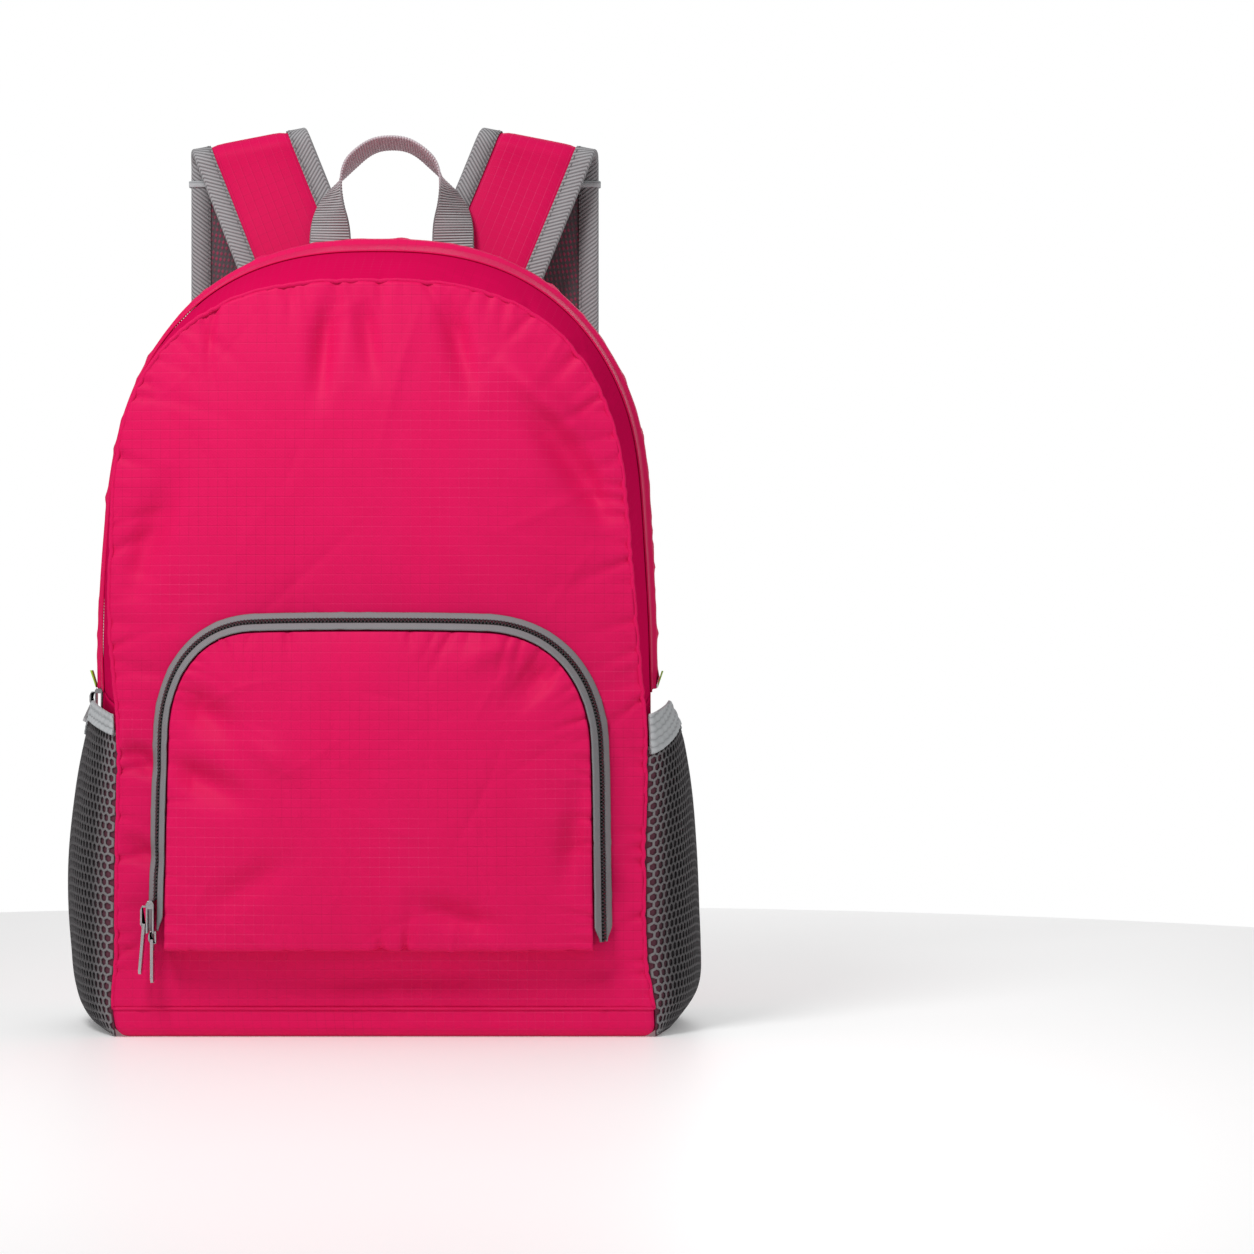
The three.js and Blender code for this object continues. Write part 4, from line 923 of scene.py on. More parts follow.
def base_surface(u, v):
    turn = held((v - FLOOR_PART) / EDGE_PART) * pi / 2
    curve_height = BASE_EDGE_RADIUS * (1 - np.cos(turn))
    band_rise = BASE_BAND - BASE_EDGE_RADIUS
    height = curve_height + held((v - (1 - BAND_PART)) / BAND_PART) * band_rise
    places = girth_point(u, height)
    inset = BASE_EDGE_RADIUS * (1 - np.sin(turn))
    for axis, half in ((0, BODY_WIDTH / 2), (1, BODY_DEPTH / 2)):
        places[:, axis] *= 1 - inset / half
    drawn = gathered(BASE_GATHERS, u * GIRTH, BASE_BAND - height)
    shrink = 1 - 0.9 * np.clip(drawn, -0.4, 2) * (turn > 0) / 90
    places *= (np.clip(v / FLOOR_PART, 0.02, 1) * shrink)[:, None]
    places[:, 2] = height
    return places


laid("base_tray", 320, 24, base_surface, PINK, "base_panel",
     lambda u, v, places: (u * BASE_CLOTH_LONG, v * BASE_CLOTH_WIDE), thickness=WALL)


WELT, WELT_OUT, WELT_LEAN = 0.9, 0.25, (1, 1.6, 0)


def base_welt(u, v):
    turn = 2 * pi * v
    drawn = gathered(BASE_GATHERS, u * GIRTH, np.zeros_like(u))
    places = girth_point(u, np.full_like(u, BASE_BAND))
    outward = unit(places * WELT_LEAN)
    places += outward * (WELT_OUT + WELT * np.cos(turn) - 0.5 * drawn)[:, None]
    places[:, 2] += WELT * np.sin(turn)
    return places


laid("base_seam", 420, CIRCLE, base_welt, PINK, tube=True)

# %% [markdown]
# ## Curves through a few points
#
# The pocket's edge, the handle and the webbing each follow a smooth line through a few points.
# The points are sampled densely and then read by length, so that teeth, stitches and ribs keep
# an even pitch along them.

# %% A curve that is read by its length
ROUTE_STEPS, HEADING_STEP = 40, 0.004


class Route:
    def __init__(self, points):
        points = np.asarray(points, float)
        p = np.vstack([2 * points[0] - points[1], points, 2 * points[-1] - points[-2]])
        knots = np.linalg.norm(np.diff(p, axis=0), axis=1)[:, None] ** 0.5
        a, b, c = knots[:-2], knots[1:-1], knots[2:]
        first, start, stop, last = p[:-3], p[1:-2], p[2:-1], p[3:]
        leave = b * ((start - first) / a - (stop - first) / (a + b) + (stop - start) / b)
        arrive = b * ((stop - start) / b - (last - start) / (b + c) + (last - stop) / c)
        t = np.linspace(0, 1, ROUTE_STEPS, endpoint=False)[:, None, None]
        dense = start + t * (leave + t * (3 * (stop - start) - 2 * leave - arrive
                                          + t * (2 * (start - stop) + leave + arrive)))
        self.points = np.vstack([dense.transpose(1, 0, 2).reshape(-1, 3), points[-1:]])
        self.lengths = lengths(self.points)
        self.length = self.lengths[-1]

    def at(self, share):
        return along_line(np.asarray(share, float) * self.length, self.lengths, self.points)

    def heading(self, share):
        share = np.asarray(share, float)
        return unit(self.at(np.minimum(share + HEADING_STEP, 1))
                    - self.at(np.maximum(share - HEADING_STEP, 0)))


# %% [markdown]
# ## The front pocket
#
# The pocket is a bag's front pocket in miniature: a zip climbs from the panel over an arch, and a
# loose panel fills the arch. The zip's tapes stand as a sloping band, its foot is a turned-under
# lip that overhangs the panel, and the zip draws the panel's rim into small gathers.

# %% The pocket's edge and its band
POCKET_WIDTH, POCKET_HEIGHT, POCKET_FOOT, POCKET_SHIFT = 257, 186, 49, 4
POCKET_RISE, POCKET_BULGE, POCKET_TAPE, POCKET_COIL, POCKET_COIL_HEIGHT = 14.5, 7, 6.2, 4.6, 1.4
LIP_DROP, BAND_FOOT, CORNER_POWER = 2, 5, 2.3
SLIDER_LENGTH, SLIDER_FOOT = 18, 59
POCKET_CORNERS = ((-1, 0.24, 0.4, 0.012), (1, 0.29, 0.44, 0.006))
POCKET_TOP = POCKET_FOOT + POCKET_HEIGHT
BAND_WIDTH = 2 * POCKET_TAPE + POCKET_COIL
BAND_SLOPE = asin(POCKET_RISE / BAND_WIDTH)


def pocket_corner(side, wide, tall, lean):
    wide, tall = POCKET_WIDTH * wide, POCKET_HEIGHT * tall
    foot = POCKET_WIDTH / 2
    edge = foot - POCKET_WIDTH * lean
    stand = [(POCKET_SHIFT + side * mix(foot, edge, share), 0,
              mix(POCKET_FOOT, POCKET_TOP - tall, share)) for share in (0, 0.5)]
    power = 2 / CORNER_POWER
    bend = [(POCKET_SHIFT + side * (edge - wide + wide * abs(cos(angle)) ** power), 0,
             POCKET_TOP - tall + tall * sin(angle) ** power)
            for angle in np.linspace(0, pi / 2, 9)]
    return stand + bend


left_corner, right_corner = (pocket_corner(*corner) for corner in POCKET_CORNERS)
POCKET_EDGE = Route(left_corner + right_corner[::-1])
FOOT_SHARE = BAND_FOOT / POCKET_EDGE.length
COIL_SHARE = (SLIDER_FOOT + SLIDER_LENGTH + GAP - POCKET_FOOT) / POCKET_EDGE.length
INNER_SHARE = (SLIDER_FOOT + WALL + GAP - POCKET_FOOT) / POCKET_EDGE.length
print("pocket edge:", round(POCKET_EDGE.length), "mm")


def on_pocket(x, z):
    return front_skin(x, z) - GAP - WALL


def band_point(share, across, out):
    """A point of the zip band: across climbs it, out stands off it."""
    places, heading = POCKET_EDGE.at(share), POCKET_EDGE.heading(share)
    inward = across * cos(BAND_SLOPE) - out * sin(BAND_SLOPE)
    places[:, 0] += heading[:, 2] * inward
    places[:, 2] -= heading[:, 0] * inward
    climb = across * sin(BAND_SLOPE) + out * cos(BAND_SLOPE)
    places[:, 1] = on_pocket(places[:, 0], places[:, 2]) - climb
    return places


# %% Zip tapes and coil
EDGE_LENGTH = 620
TAPE_WAVES = gathers(52, EDGE_LENGTH, 16.0, 12, 0.7)
TAPE_POINT, POCKET_TAPE_THICKNESS, BED_THICKNESS = 9, 0.9, 0.4


def pointed(share, shares):
    """From 1 along the tape to nearly 0 at its two ends, where it is cut to a point."""
    ends = np.minimum(share - shares[0], shares[1] - share) * POCKET_EDGE.length
    return 0.15 + 0.85 * smooth(ends / TAPE_POINT)


def tape(low, high, shares, keep_high):
    def surface(u, v):
        share = mix(shares[1], shares[0], u)
        width = (high - low) * pointed(share, shares)
        across = high - (1 - v) * width if keep_high else low + v * width
        wave = gathered(TAPE_WAVES, share * POCKET_EDGE.length, 0 * share)
        free = (1 - v) if keep_high else v
        return band_point(share, across, WALL / 2 + 0.5 * wave * free)
    return surface


OUTER_TAPE = (FOOT_SHARE, 1 - FOOT_SHARE)
INNER_TAPE = (INNER_SHARE, 1 - FOOT_SHARE)
COIL = (COIL_SHARE, 1 - FOOT_SHARE)
COIL_FOOT, COIL_END = POCKET_TAPE, POCKET_TAPE + POCKET_COIL
laid("pocket_tape_outer_cloth", 330, 6, tape(0, COIL_FOOT - GAP, OUTER_TAPE, True), ZIP_TAPE,
     "pocket_tape_outer", thickness=POCKET_TAPE_THICKNESS)
laid("pocket_tape_inner_cloth", 330, 6, tape(COIL_END + GAP, BAND_WIDTH, INNER_TAPE, False),
     ZIP_TAPE, "pocket_tape_inner", thickness=POCKET_TAPE_THICKNESS)
laid("pocket_coil_bed", 330, 2,
     lambda u, v: band_point(mix(COIL[1], COIL[0], u), mix(COIL_FOOT, COIL_END, v), 0.1 - WALL / 2),
     COIL_NYLON, thickness=BED_THICKNESS)
COIL_PITCH, TOOTH_LENGTH = 2.0, 1.05


def coil_row(name, across, width, offset, node=""):
    """One side's teeth, half a pitch off the other side's."""
    count = int((COIL[1] - COIL[0]) * POCKET_EDGE.length / COIL_PITCH)
    share = mix(*COIL, (np.arange(count) + offset) / count)
    middle = band_point(share, across, POCKET_COIL_HEIGHT / 2 - WALL / 4)
    up = band_point(share, across, POCKET_COIL_HEIGHT) - middle
    blocks(name, (TOOTH_LENGTH, width, POCKET_COIL_HEIGHT), middle, POCKET_EDGE.heading(share),
           up, COIL_NYLON, "zip_coil", node)


coil_row("pocket_teeth_outer", COIL_FOOT + POCKET_COIL * 0.3, POCKET_COIL * 0.6, 0.25,
         "pocket_coil")
coil_row("pocket_teeth_inner", COIL_FOOT + POCKET_COIL * 0.72, POCKET_COIL * 0.55, 0.75)

# %% The pocket's panel with its lip
POCKET_SHOULDER, POCKET_ROUNDNESS = 0.34, 4
RIM_FOOT, RIM_STEPS = FOOT_SHARE * 0.5, 700
LIP_SHARE, LIP_FADE, LIP_WAVE, RIM_CALM = 0.1, 9, 1.2, 12
LIP = table(("along", "rise", "drop"), (
    (0.0, 0.03, 0), (0.25, 0.35, 0.6), (0.6, 0.7, 1), (0.85, 0.93, 0.7), (1.0, 1.0, 0)))
RIM_GATHERS = gathers(53, EDGE_LENGTH, 7.0, 18, 1.9)
LIP_WAVES = gathers(54, 300, 19.0, 30, 3.4)


def pocket_rim(share):
    return band_point(share, BAND_WIDTH + 2 * WALL, np.zeros_like(share))


POCKET_PATCH = outline_patch(pocket_rim, RIM_FOOT, POCKET_SHOULDER)
RIM_LINE = pocket_rim(np.linspace(RIM_FOOT, 1 - RIM_FOOT, RIM_STEPS))


def pocket_surface(u, v):
    over_lip = held((v - LIP_SHARE) / (1 - LIP_SHARE))
    places = POCKET_PATCH(u, over_lip)
    x, z = places[:, 0].copy(), places[:, 2].copy()
    side = 1 - abs(2 * u - 1) ** CROWN_POWER
    crown = side * (1 - (1 - over_lip) ** POCKET_ROUNDNESS) * (1 - over_lip ** POCKET_ROUNDNESS)
    above = z - POCKET_FOOT
    dents = held(SEAM_FADE * crown) * dent_at(POCKET_FOLDS, x - POCKET_SHIFT, above, POCKET_WIDTH,
                                              POCKET_HEIGHT)
    at, away = nearest(x, z, RIM_LINE)
    along = at / RIM_STEPS * POCKET_EDGE.length
    dents += (gathered(RIM_GATHERS, along, away)
              + held(away / RIM_CALM) * creased(55, 50, 0.9, x, z))
    waves = gathered(LIP_WAVES, x - x.min(), np.maximum(above, 0)) * side
    rise = POCKET_RISE + POCKET_BULGE * crown - dents - 0.6 * waves
    skin = on_pocket(x, z)
    lip = held(v / LIP_SHARE)
    drop = LIP_DROP * read(LIP, "along", "drop", lip)
    low = np.exp(-(above / LIP_FADE) ** 2)
    places[:, 1] = mix(skin + WALL, skin - rise, read(LIP, "along", "rise", lip))
    places[:, 2] = z - drop + LIP_WAVE * waves * low * lip
    return places


laid("front_pocket_cloth", 170, 150, pocket_surface, PINK, "front_pocket",
     upright_cloth, thickness=CLOTH)

# %% [markdown]
# ## The net side pockets
#
# Each side pocket is a knitted net with hexagonal holes, gathered into an elastic rim. A picture
# of a net would look flat from the side, so the yarn is real: circles with six corners are set
# down side by side, each face is inset, its middle is taken out, and what is left is moved onto
# the pocket's surface and given a thickness.

# %% The nets' surface
NET_HEIGHT, NET_BULGE, NET_WALL, ELASTIC_WIDTH, ELASTIC_WALL = 186, 23, 1.2, 12, 1.4
NET_SEAM, NET_ROUNDNESS = 0.012, 0.6
NET_PROFILE = table(("up", "left", "right"), (
    (0.0, 0.05, 0.05), (0.03, 0.42, 0.3), (0.12, 0.7, 0.74), (0.22, 0.86, 0.94),
    (0.38, 0.94, 1.0), (0.56, 0.88, 1.0), (0.75, 0.68, 0.93), (0.88, 0.48, 0.78),
    (0.94, 0.34, 0.62), (1.0, 0.2, 0.38)))
RIM = table(("back", "up", "left_band", "right_band"), (
    (0.0, 0.965, 1.05, 2.0), (0.2, 0.99, 1.0, 1.45), (0.36, 1.0, 1.0, 1.1),
    (0.48, 0.96, 1.0, 1.0), (0.6, 0.945, 1.0, 1.0), (1.0, 0.95, 1.0, 1.0)))
NET_WAVES = gathers(61, 190, 15.0, 60, 2.2)


def net_point(side, back, up, out):
    name = "left" if side < 0 else "right"
    height = mix(GAP, NET_HEIGHT * read(RIM, "back", "up", back), up)
    part = held((back - NET_SEAM) / (1 - 2 * NET_SEAM))
    stand = NET_BULGE * read(NET_PROFILE, "up", name, up) * np.sin(pi * part) ** NET_ROUNDNESS
    places = side_point(side, back, height)
    places[:, 0] += side * (stand + 2 * GAP + out)
    return places


def band_share(back, band):
    return ELASTIC_WIDTH * read(RIM, "back", band, back) / NET_HEIGHT


# %% Yarn round hexagonal holes
CELL, YARN, YARN_DEPTH = 5.6, 0.62, 0.9
NET_WIDTH_FLAT, NET_LIFT = 196, 0.006


def net_pocket(name, side, band, node):
    bm = bmesh.new()
    reach = CELL / sqrt(3)
    columns = round(NET_WIDTH_FLAT / CELL)
    rows = round(NET_HEIGHT / (1.5 * reach))
    for row in range(rows + 1):
        for column in range(columns + row % 2):
            middle = ((column + 0.5 - (row % 2) / 2) * CELL, row * 1.5 * reach, 0)
            bmesh.ops.create_circle(bm, cap_ends=True, segments=6, radius=reach,
                                    matrix=Matrix.Translation(middle))
    bmesh.ops.remove_doubles(bm, verts=bm.verts, dist=0.05)
    inset = bmesh.ops.inset_individual(bm, faces=bm.faces[:], thickness=YARN, use_even_offset=True)
    ring = set(inset["faces"])
    bmesh.ops.delete(bm, geom=[face for face in bm.faces if face not in ring], context="FACES")
    spots = np.array([corner.co for corner in bm.verts])
    wide, tall = columns * CELL, rows * 1.5 * reach
    back = mix(NET_SEAM, 1 - NET_SEAM, held(spots[:, 0] / wide))
    share = held(spots[:, 1] / tall)
    up = mix(NET_LIFT, 1 - band_share(back, band) * 0.8, share)
    drawn = gathered(NET_WAVES, spots[:, 0], (1 - share) * NET_HEIGHT)
    places = net_point(side, back, up, NET_WALL - 0.5 * drawn * np.sin(pi * share))
    moved(bm, places)
    bmesh.ops.dissolve_degenerate(bm, dist=1e-5, edges=bm.edges)
    smoothed(bm)
    for face in bm.faces:
        face.normal_update()
        if face.normal.x * side < 0 and abs(face.normal.x) > 0.05:
            face.normal_flip()
    finished(name, bm, NET_YARN, node, thickness=YARN_DEPTH)


# %% [markdown]
# ## The elastic rims
#
# The rim is a flat woven elastic, folded over the net's edge. Two rows of stitches sink into it
# and leave two grooves along its length, which the photograph shows as darker lines.

# %% Elastic with two sewn grooves
GROOVES = ((0.3, 0.07), (0.68, 0.07))
EDGE_ROUND, BACKING_THICKNESS, STRETCH, STRETCH_TURNS = 0.06, 0.2, 0.25, 150


def elastic(name, side, band, node):
    def surface(u, v):
        back = mix(NET_SEAM, 1 - NET_SEAM, u)
        around = np.where(v < 0.5, 2 * v, 2 - 2 * v)
        inside = held(np.minimum(around, 1 - around) / EDGE_ROUND)
        rounded = np.sqrt(held(1 - (1 - inside) ** 2))
        groove = sum(np.exp(-((around - at) / wide) ** 2) for at, wide in GROOVES)
        thick = ELASTIC_WALL * 0.5 * (1 + rounded * (1 - 0.75 * groove))
        stretch = STRETCH * np.sin(u * STRETCH_TURNS) * rounded
        out = np.where(v < 0.5, thick + stretch, ELASTIC_WALL * 0.5 * (1 - rounded))
        up = 1 - (1 - around) * band_share(back, band)
        return net_point(side, back, up, NET_WALL + GAP + out)
    laid(name, 220, 56, surface, PALE_ELASTIC, node, tube=True)


def net_backing(name, side, band):
    """A dark sheet behind the open net, which darkens its holes."""
    def surface(u, v):
        u = 1 - u if side < 0 else u
        back = mix(NET_SEAM, 1 - NET_SEAM, u)
        up = v * (1 - band_share(back, band) * 0.8)
        drawn = gathered(NET_WAVES, u * NET_WIDTH_FLAT, (1 - v) * NET_HEIGHT)
        return net_point(side, back, up, -0.5 * drawn * np.sin(pi * v))
    laid(name, 60, 60, surface, NET_BACKING, thickness=BACKING_THICKNESS)


for side, word in BOTH_SIDES:
    net_backing("net_backing_" + word, side, word + "_band")
    net_pocket("net_pocket_" + word, side, word + "_band", "net_" + word)
    elastic("elastic_rim_" + word, side, word + "_band", "elastic_" + word)

# %% [markdown]
# ## Flat webbing
#
# Webbing keeps its width and bends only about its thin side. Its section is a flat bar with
# rounded edges, and a closed grid carries that section along a path. Bars across the handle's
# weave are deep enough to see at its edges, so they are in the shape as well as in the finish.

# %% Sections for bands
def stadium(width, thickness, steps):
    """A flat section with rounded ends, as across and out, once round."""
    half, round_ = width / 2 - thickness / 2, thickness / 2
    turns = np.linspace(-pi / 2, pi / 2, steps + 1)
    right = [(half + round_ * cos(a), round_ * sin(a)) for a in turns]
    return np.array(right + [(-x, -y) for x, y in right])


def around_section(section, v):
    closed = np.vstack([section, section[:1]])
    where = v * len(section)
    return (np.interp(where, np.arange(len(closed)), closed[:, k]) for k in range(2))


def band(name, stations, section, place, finish, slot, node):
    """A band: place(station, across, out) sets the section down along its stations."""
    def surface(u, v):
        across, out = around_section(section, v)
        along = np.interp(u * (len(stations) - 1), np.arange(len(stations)), stations)
        return place(along, across, out)
    return laid(name, len(stations) - 1, len(section), surface, finish, node, tube=True)


# %% [markdown]
# ## The grab handle
#
# One length of webbing is sewn flat to the back at its two feet, and a half twist near each foot
# turns it so that its flat side faces up at the top, where the hand goes.

# %% Grab handle
HANDLE_WIDTH, HANDLE_WALL, HANDLE_TOP, HANDLE_SPREAD, HANDLE_SEWN = 25, 1.6, 518, 76, 416
HANDLE_TILT, HANDLE_TWIST_FROM, HANDLE_TWIST_OVER = 102, 0.3, 0.5
HANDLE_PATH = ((-0.97, 0), (-0.98, 0.2), (-0.97, 0.4), (-0.95, 0.62), (-0.82, 0.77),
               (-0.62, 0.89), (-0.3, 0.98))
handle_sides = HANDLE_PATH + ((0, 1),) + tuple((-side, up) for side, up in HANDLE_PATH[::-1])
HANDLE_DEPTH = back_at(0, HANDLE_SEWN) + GAP + HANDLE_WALL / 2
HANDLE_ROUTE = Route([(side * HANDLE_SPREAD / 2, HANDLE_DEPTH, mix(HANDLE_SEWN, HANDLE_TOP, up))
                      for side, up in handle_sides])
RIB_PITCH, RIB_DEPTH = 1.75, 0.14


def handle_point(share, across, out):
    heading = HANDLE_ROUTE.heading(share)
    level = unit(vectors(heading[:, 2], 0, -heading[:, 0]))
    near_top = 1 - abs(2 * share - 1)
    turn = -radians(HANDLE_TILT) * smooth((near_top - HANDLE_TWIST_FROM) / HANDLE_TWIST_OVER)
    wide = level * np.cos(turn)[:, None] + vectors(0 * turn, np.sin(turn), 0 * turn)
    normal = np.cross(heading, wide)
    rib = RIB_DEPTH * np.sin(share * HANDLE_ROUTE.length * 2 * pi / RIB_PITCH)
    out = out * (1 + rib)
    return HANDLE_ROUTE.at(share) + wide * across[:, None] + normal * out[:, None]


band("handle_webbing", np.linspace(0, 1, 760), stadium(HANDLE_WIDTH, HANDLE_WALL, 2), handle_point,
     HANDLE_WEBBING, "grey_webbing", "grab_handle")

# %% [markdown]
# ## The shoulder straps
#
# Each strap is a thin pad: ripstop on its face, dark net on its back and a grey binding folded
# over both edges. It rises from the back, folds over a level crease and hangs down behind. The
# fold is worked out once, as a flat strip rolled over a thin bar, and every layer uses it.

# %% A point of a folded strap
STRAP_WIDTH, STRAP_SPREAD, STRAP_TOP, STRAP_SEWN, STRAP_LEAN = 70, 168, 524, 412, 22
STRAP_LENGTH, STRAP_FOLD_RADIUS, STRAP_SETBACK, STRAP_PADDING, STRAP_EDGE = 405, 8, 15, 2.4, 0.9
BINDING_WIDTH, BINDING_WALL, KEEPER_WIDTH, KEEPER_DROP = 12, 1, 4, 8
FOLD_TILT = radians(STRAP_LEAN / 2)
CREASE_HEIGHT = STRAP_TOP - STRAP_FOLD_RADIUS - STRAP_EDGE - BINDING_WALL
RISE = (CREASE_HEIGHT - STRAP_SEWN) / cos(radians(STRAP_LEAN))
STRAP_DEPTH = HANDLE_DEPTH + HANDLE_WALL / 2 + GAP + STRAP_PADDING + GAP


def strap_point(side, along, across, out):
    along, across, out = together(along, across, out)
    lean = radians(STRAP_LEAN)
    tilt_cos, tilt_sin = cos(FOLD_TILT), sin(FOLD_TILT)
    beyond = along - RISE
    right = sin(lean) * beyond + cos(lean) * across
    up = cos(lean) * beyond - sin(lean) * across
    level, past = right * tilt_cos - up * tilt_sin, right * tilt_sin + up * tilt_cos
    turn = np.clip(past / STRAP_FOLD_RADIUS, 0, pi)
    left = past - turn * STRAP_FOLD_RADIUS
    reach = STRAP_FOLD_RADIUS + out
    high = np.where(past < 0, past, reach * np.sin(turn) - left)
    deep = STRAP_FOLD_RADIUS - reach * np.cos(turn)
    x = level * tilt_cos + high * tilt_sin
    z = CREASE_HEIGHT - level * tilt_sin + high * tilt_cos
    lay = STRAP_SETBACK * smooth((z - STRAP_SEWN) / (CREASE_HEIGHT - STRAP_SEWN))
    still = np.where(past < 0, lay, STRAP_SETBACK)
    return vectors(side * (STRAP_SPREAD / 2 + x), STRAP_DEPTH + still + deep, z)


ARC_START = RISE - STRAP_WIDTH / 2 * tan(FOLD_TILT)
ARC_END = RISE + pi * STRAP_FOLD_RADIUS + STRAP_WIDTH / 2 * tan(FOLD_TILT)
STRAP_STATIONS = np.concatenate([np.linspace(0, ARC_START, 50, endpoint=False),
                                 np.linspace(ARC_START, ARC_END, 60, endpoint=False),
                                 np.linspace(ARC_END, STRAP_LENGTH, 90)])
STRAP_HALF = STRAP_WIDTH / 2 - BINDING_WALL - GAP
FLAT_HALF = STRAP_WIDTH / 2 - BINDING_WIDTH - GAP

# %% [markdown]
# The pad is thickest near its middle and thin under the binding. Its face is ripstop with a few
# shallow wrinkles across it, and its back is dark net over pink cloth. The pad is only a few
# millimetres thick, so its crown is worked out in code and not inflated.

# %% Pads, faces and backs
PAD_CURVE, PAD_EDGE, WRINKLE_EDGE = 18, 8, 9


def pad_section(face):
    """Half a pad: flat in the middle of the strap, crowned on its face."""
    across = np.linspace(-STRAP_HALF, STRAP_HALF, PAD_CURVE + 1)
    inner = held((FLAT_HALF - abs(across)) / PAD_EDGE)
    crown = STRAP_EDGE + (STRAP_PADDING - STRAP_EDGE) * np.sqrt(1 - (1 - inner) ** 2)
    low = [(x, face * GAP) for x in (-STRAP_HALF, STRAP_HALF)]
    return np.array(low + list(zip(across[::-1], face * crown[::-1])))


STRAP_CREASES = gathers(71, STRAP_LENGTH, 17.0, 16, 0.75)


def wrinkled(side, face):
    def place(along, across, out):
        inner = held((FLAT_HALF - abs(across)) / WRINKLE_EDGE)
        drawn = np.maximum(gathered(STRAP_CREASES, along, FLAT_HALF - abs(across)), -0.1)
        skin = np.where(abs(out) > 2 * GAP, 1.0, 0.0)
        return strap_point(side, along, across, out - face * skin * inner * drawn)
    return place


for side, word in BOTH_SIDES:
    pad = band("strap_pad_" + word, STRAP_STATIONS, pad_section(1), wrinkled(side, 1), PINK_STRAP,
               "ripstop_cloth", "strap_" + word)
    lining = band("strap_lining_" + word, STRAP_STATIONS, pad_section(-1), wrinkled(side, -1),
                  STRAP_NET, "dark_net", "strap_net_" + word)

# %% Bindings
BINDING_IN, BINDING_ROUND, STITCH_INSET, STITCH_PITCH = STRAP_EDGE + 2 * GAP, 1.6, 1.4, 4.2
BINDING_OUT = BINDING_IN + BINDING_WALL
STITCH = (2.4, 0.6, 0.5)
BINDING_PUCKERS = gathers(72, STRAP_LENGTH, 9.0, 8, 0.3)


def binding_section(edge):
    """A tape folded over one edge of the strap, as a thin hook with a round back."""
    far, near = STRAP_WIDTH / 2 - BINDING_ROUND, STRAP_WIDTH / 2 - BINDING_WIDTH
    turns = np.linspace(-pi / 2, pi / 2, 7)
    outer = [(far + BINDING_ROUND * cos(a), BINDING_OUT * sin(a)) for a in turns]
    inner = [(far + (BINDING_ROUND - BINDING_WALL) * cos(a), BINDING_IN * sin(a))
             for a in turns[::-1]]
    section = ([(near, -BINDING_OUT)] + outer + [(near, BINDING_OUT), (near, BINDING_IN)] + inner
               + [(near, -BINDING_IN)])
    return np.array([(edge * across, out) for across, out in section])


def binding_place(side):
    def place(along, across, out):
        drawn = gathered(BINDING_PUCKERS, along, STRAP_WIDTH / 2 - abs(across))
        return strap_point(side, along, across, out * (1 + 0.12 * drawn))
    return place


for side, word in BOTH_SIDES:
    for edge, part in ((1, "outer"), (-1, "inner")):
        band(f"binding_{part}_{word}_tape", STRAP_STATIONS, binding_section(edge),
             binding_place(side), TWILL_BINDING, "grey_webbing", f"binding_{part}_{word}")
        along = np.arange(3, STRAP_LENGTH - 3, STITCH_PITCH)
        across = edge * (STRAP_WIDTH / 2 - BINDING_WIDTH + STITCH_INSET)
        for face, face_word in ((1, "face"), (-1, "back")):
            middle, ahead, lifted = (
                strap_point(side, along + step, across, face * (BINDING_OUT + rise))
                for step, rise in ((0, 0), (1, 0), (0, 1)))
            blocks(f"binding_stitches_{part}_{word}_{face_word}", STITCH, middle,
                   ahead - middle, lifted - middle, GREY_THREAD, "grey_webbing")

# %% Keeper bands
KEEPER_MIDDLE = ARC_END + KEEPER_DROP
KEEPER_STEPS, KEEPER_POWER = 64, 2 / 8


def keeper(side):
    """A slim elastic band once round the strap, whose section is a small flat bar."""
    wide, thick = STRAP_WIDTH / 2 + GAP, STRAP_PADDING + GAP
    turns = np.linspace(0, 2 * pi, KEEPER_STEPS + 1)

    def place(station, across, out):
        angle = np.interp(station, np.arange(len(turns)), turns)
        c, s = np.cos(angle), np.sin(angle)
        grow = out + BINDING_WALL / 2
        x = np.sign(c) * abs(c) ** KEEPER_POWER * (wide + grow)
        y = np.sign(s) * abs(s) ** KEEPER_POWER * (thick + grow)
        return strap_point(side, KEEPER_MIDDLE + KEEPER_WIDTH / 2 + across, x, y)
    return place


for side, word in BOTH_SIDES:
    band("keeper_band_" + word, np.arange(KEEPER_STEPS + 1), stadium(KEEPER_WIDTH, BINDING_WALL, 3),
         keeper(side), PALE_ELASTIC, "light_elastic", "keeper_" + word)

# %% [markdown]
# ## Adjusters and lower webbing
#
# A ladder of plastic hangs in a loop below each strap. Webbing comes up from the base, goes
# round its lower bar and hangs down as a short tail, which is what the wearer pulls. The plastic
# keeps its CAD shape with moulded, rounded edges, and the webbing is laid along its own path.

# %% Adjuster loops and webbing
WEBBING_WIDTH, WEBBING_WALL, WEBBING_TAIL, WEBBING_SEWN = 24, 1.4, 60, 24
LOCK_HEIGHT, LOCK_THICKNESS, LOCK_BAR, TURN_STEPS = 26, 3.2, 3.5, 4
WEBBING_RIB, WEBBING_RIB_PITCH = 0.12, 1.6
WEBBING_FALL = ((0.5, 0.35), (0.85, 0.86), (1, 1))


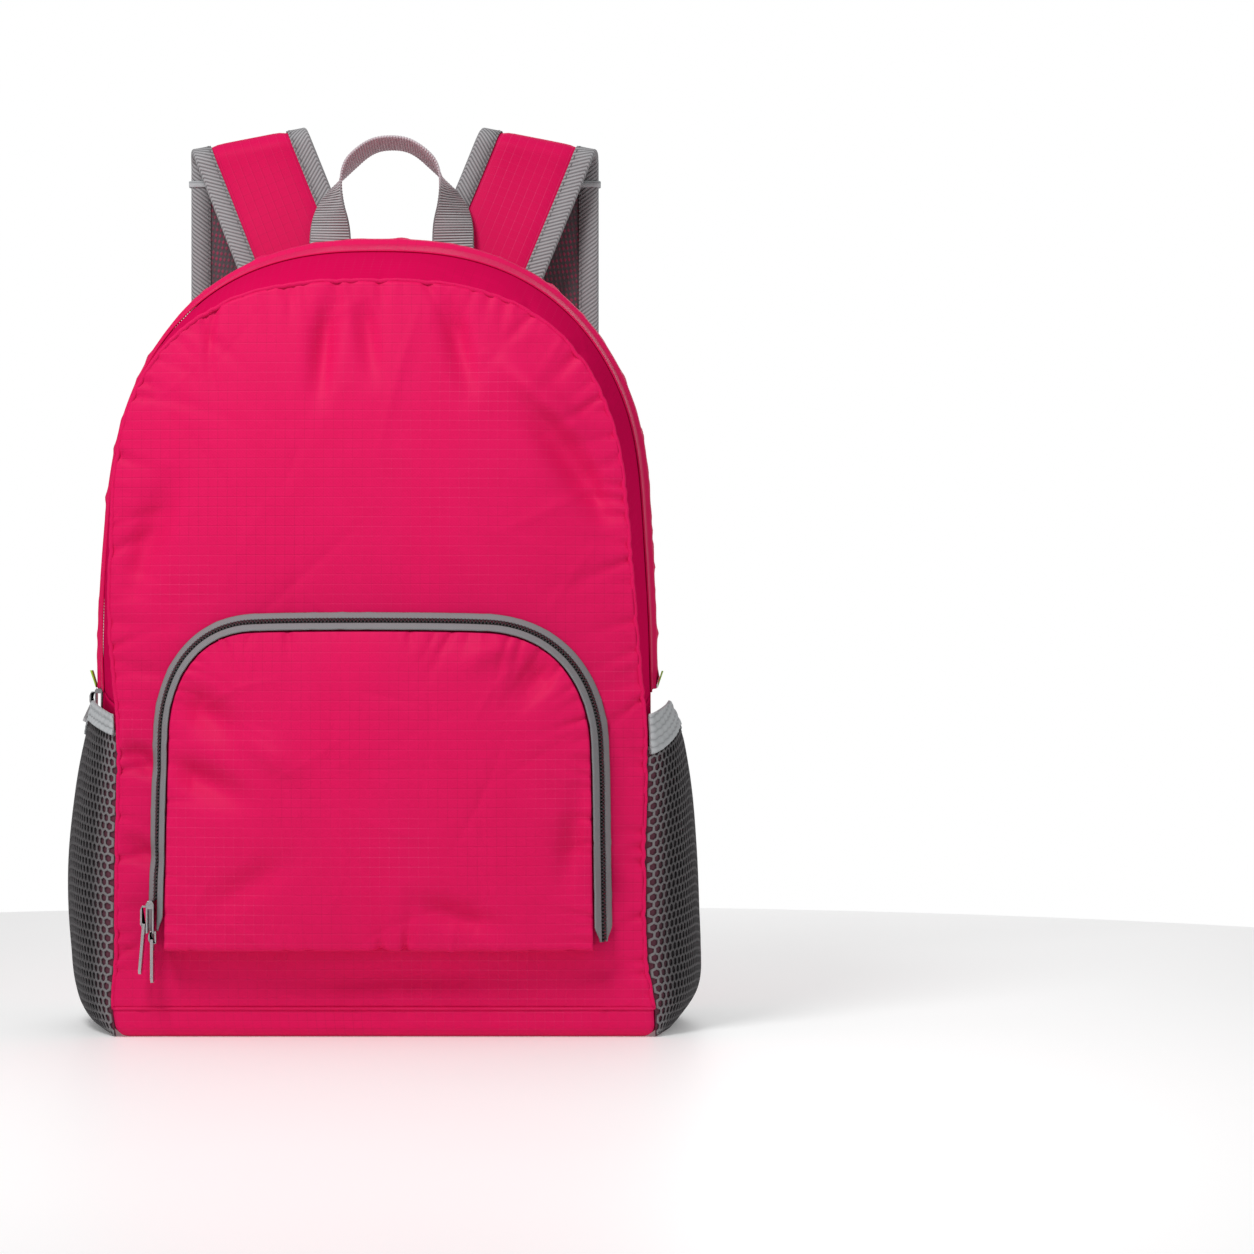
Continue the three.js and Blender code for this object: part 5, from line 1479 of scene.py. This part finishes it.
def webbing(name, points, node, stations):
    route = Route(points)

    def place(share, across, out):
        heading = route.heading(share)
        wide = unit(np.array([1.0, 0, 0]) - heading * heading[:, :1])
        rib = 1 + WEBBING_RIB * np.sin(share * route.length * 2 * pi / WEBBING_RIB_PITCH)
        normal = np.cross(heading, wide)
        return route.at(share) + wide * across[:, None] + normal * (out * rib)[:, None]
    band(name, np.linspace(0, 1, stations), stadium(WEBBING_WIDTH, WEBBING_WALL, 2), place,
         STRAP_WEBBING, "grey_webbing", node)


def adjuster(side, word):
    end = strap_point(side, np.array([STRAP_LENGTH]), 0, 0)[0]
    off = LOCK_THICKNESS / 2 + WEBBING_WALL / 2 + GAP
    foot = end[2] - LOCK_HEIGHT - 2 * LOCK_BAR

    def at(deep, up):
        return (end[0], end[1] + deep, foot + up)

    def turn(up, first, last):
        return [at(off * cos(a), up + off * sin(a))
                for a in np.linspace(first, last, TURN_STEPS + 1)]
    strap_foot = end[2] - foot - GAP
    loop = [at(-off, strap_foot), *turn(LOCK_HEIGHT - LOCK_BAR, -pi, 0), at(off, strap_foot)]
    webbing("adjuster_band_" + word, loop, "adjuster_loop_" + word, 110)
    middle_top = 2 * LOCK_BAR + (LOCK_HEIGHT - 3 * LOCK_BAR) / 2
    landing = float(side_point(side, 1, np.array([WEBBING_SEWN]))[0, 0]) - side * WEBBING_WIDTH
    beside = landing - side * WEBBING_WIDTH / 2
    skin = GAP + WEBBING_WALL / 2 + back_at(beside, WEBBING_SEWN + WEBBING_WIDTH)
    fall = [(mix(end[0], landing, down), mix(end[1], skin, back), mix(foot, WEBBING_SEWN, down))
            for down, back in WEBBING_FALL]
    tail = [at(off, middle_top - WEBBING_TAIL), at(off, middle_top - WEBBING_TAIL / 2)]
    webbing("lower_webbing_" + word, [*tail, *turn(middle_top, 0, pi), at(-off, -LOCK_BAR),
                                      *fall], "webbing_" + word, 620)


for side, word in BOTH_SIDES:
    adjuster(side, word)

# %% [markdown]
# ## Metal and plastic pieces
#
# The sliders, pulls and adjusters are right as the CAD has them, but cast metal and moulded
# plastic have no knife edges. A copy of each CAD mesh is merged, its flat faces are joined, and
# its edges are bevelled, so that they catch the light as real ones do.

# %% Bevelled copies of hard pieces
FLAT_ANGLE, SHARP_ANGLE = radians(2), 0.3
METAL_EDGE, PLASTIC_EDGE, TAPE_EDGE = 0.22, 0.5, 0.15


def softened(name, node, body, finish, width):
    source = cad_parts[node]
    bm = bmesh.new()
    bm.from_mesh(source.data)
    bm.transform(source.matrix_world)
    bmesh.ops.remove_doubles(bm, verts=bm.verts, dist=WELD)
    bmesh.ops.dissolve_limit(bm, angle_limit=FLAT_ANGLE, verts=bm.verts, edges=bm.edges)
    edges = [edge for edge in bm.edges
             if edge.is_manifold and edge.calc_face_angle(0) > SHARP_ANGLE]
    bevelled(bm, edges, width, 2, True)
    piece = finished(name, bm, finish, node, body=body)
    piece.modifiers.new("shading", "WEIGHTED_NORMAL").keep_sharp = True


for name, node, body in (("pocket_slider_metal", "pocket_slider", "bag"),
                         ("main_slider_metal", "main_slider", "bag"),
                         ("main_pull_metal", "main_pull", "bag"),
                         ("pull_outer_metal", "pull_outer", "outer_pull"),
                         ("pull_inner_metal", "pull_inner", "inner_pull")):
    softened(name, node, body, PLATED_METAL, METAL_EDGE)
for side, word in BOTH_SIDES:
    softened("adjuster_plastic_" + word, "adjuster_" + word, "bag", MOULDED_PLASTIC,
             PLASTIC_EDGE)
    softened("lime_loop_" + word, "end_loop_" + word, "bag", LIME, TAPE_EDGE)

# %% [markdown]
# ## The floor
#
# A round pale floor, lit by the lamps to nearly the white of the world behind it, carries the
# bag's soft shadow and lets the rest of the picture go white, as the studio sweep does. It belongs
# to the stage, so it isn't counted as a part of the bag.

# %% Floor
FLOOR_RADIUS = 0.95
floor_mesh, bm = bpy.data.meshes.new("floor"), bmesh.new()
bmesh.ops.create_circle(bm, cap_ends=True, segments=96, radius=FLOOR_RADIUS)
bm.to_mesh(floor_mesh)
bm.free()
floor_mesh.materials.append(FLOOR_PALE)
ground = bpy.data.objects.new("floor", floor_mesh)
bpy.context.collection.objects.link(ground)
print("floor:", FLOOR_RADIUS, "m")
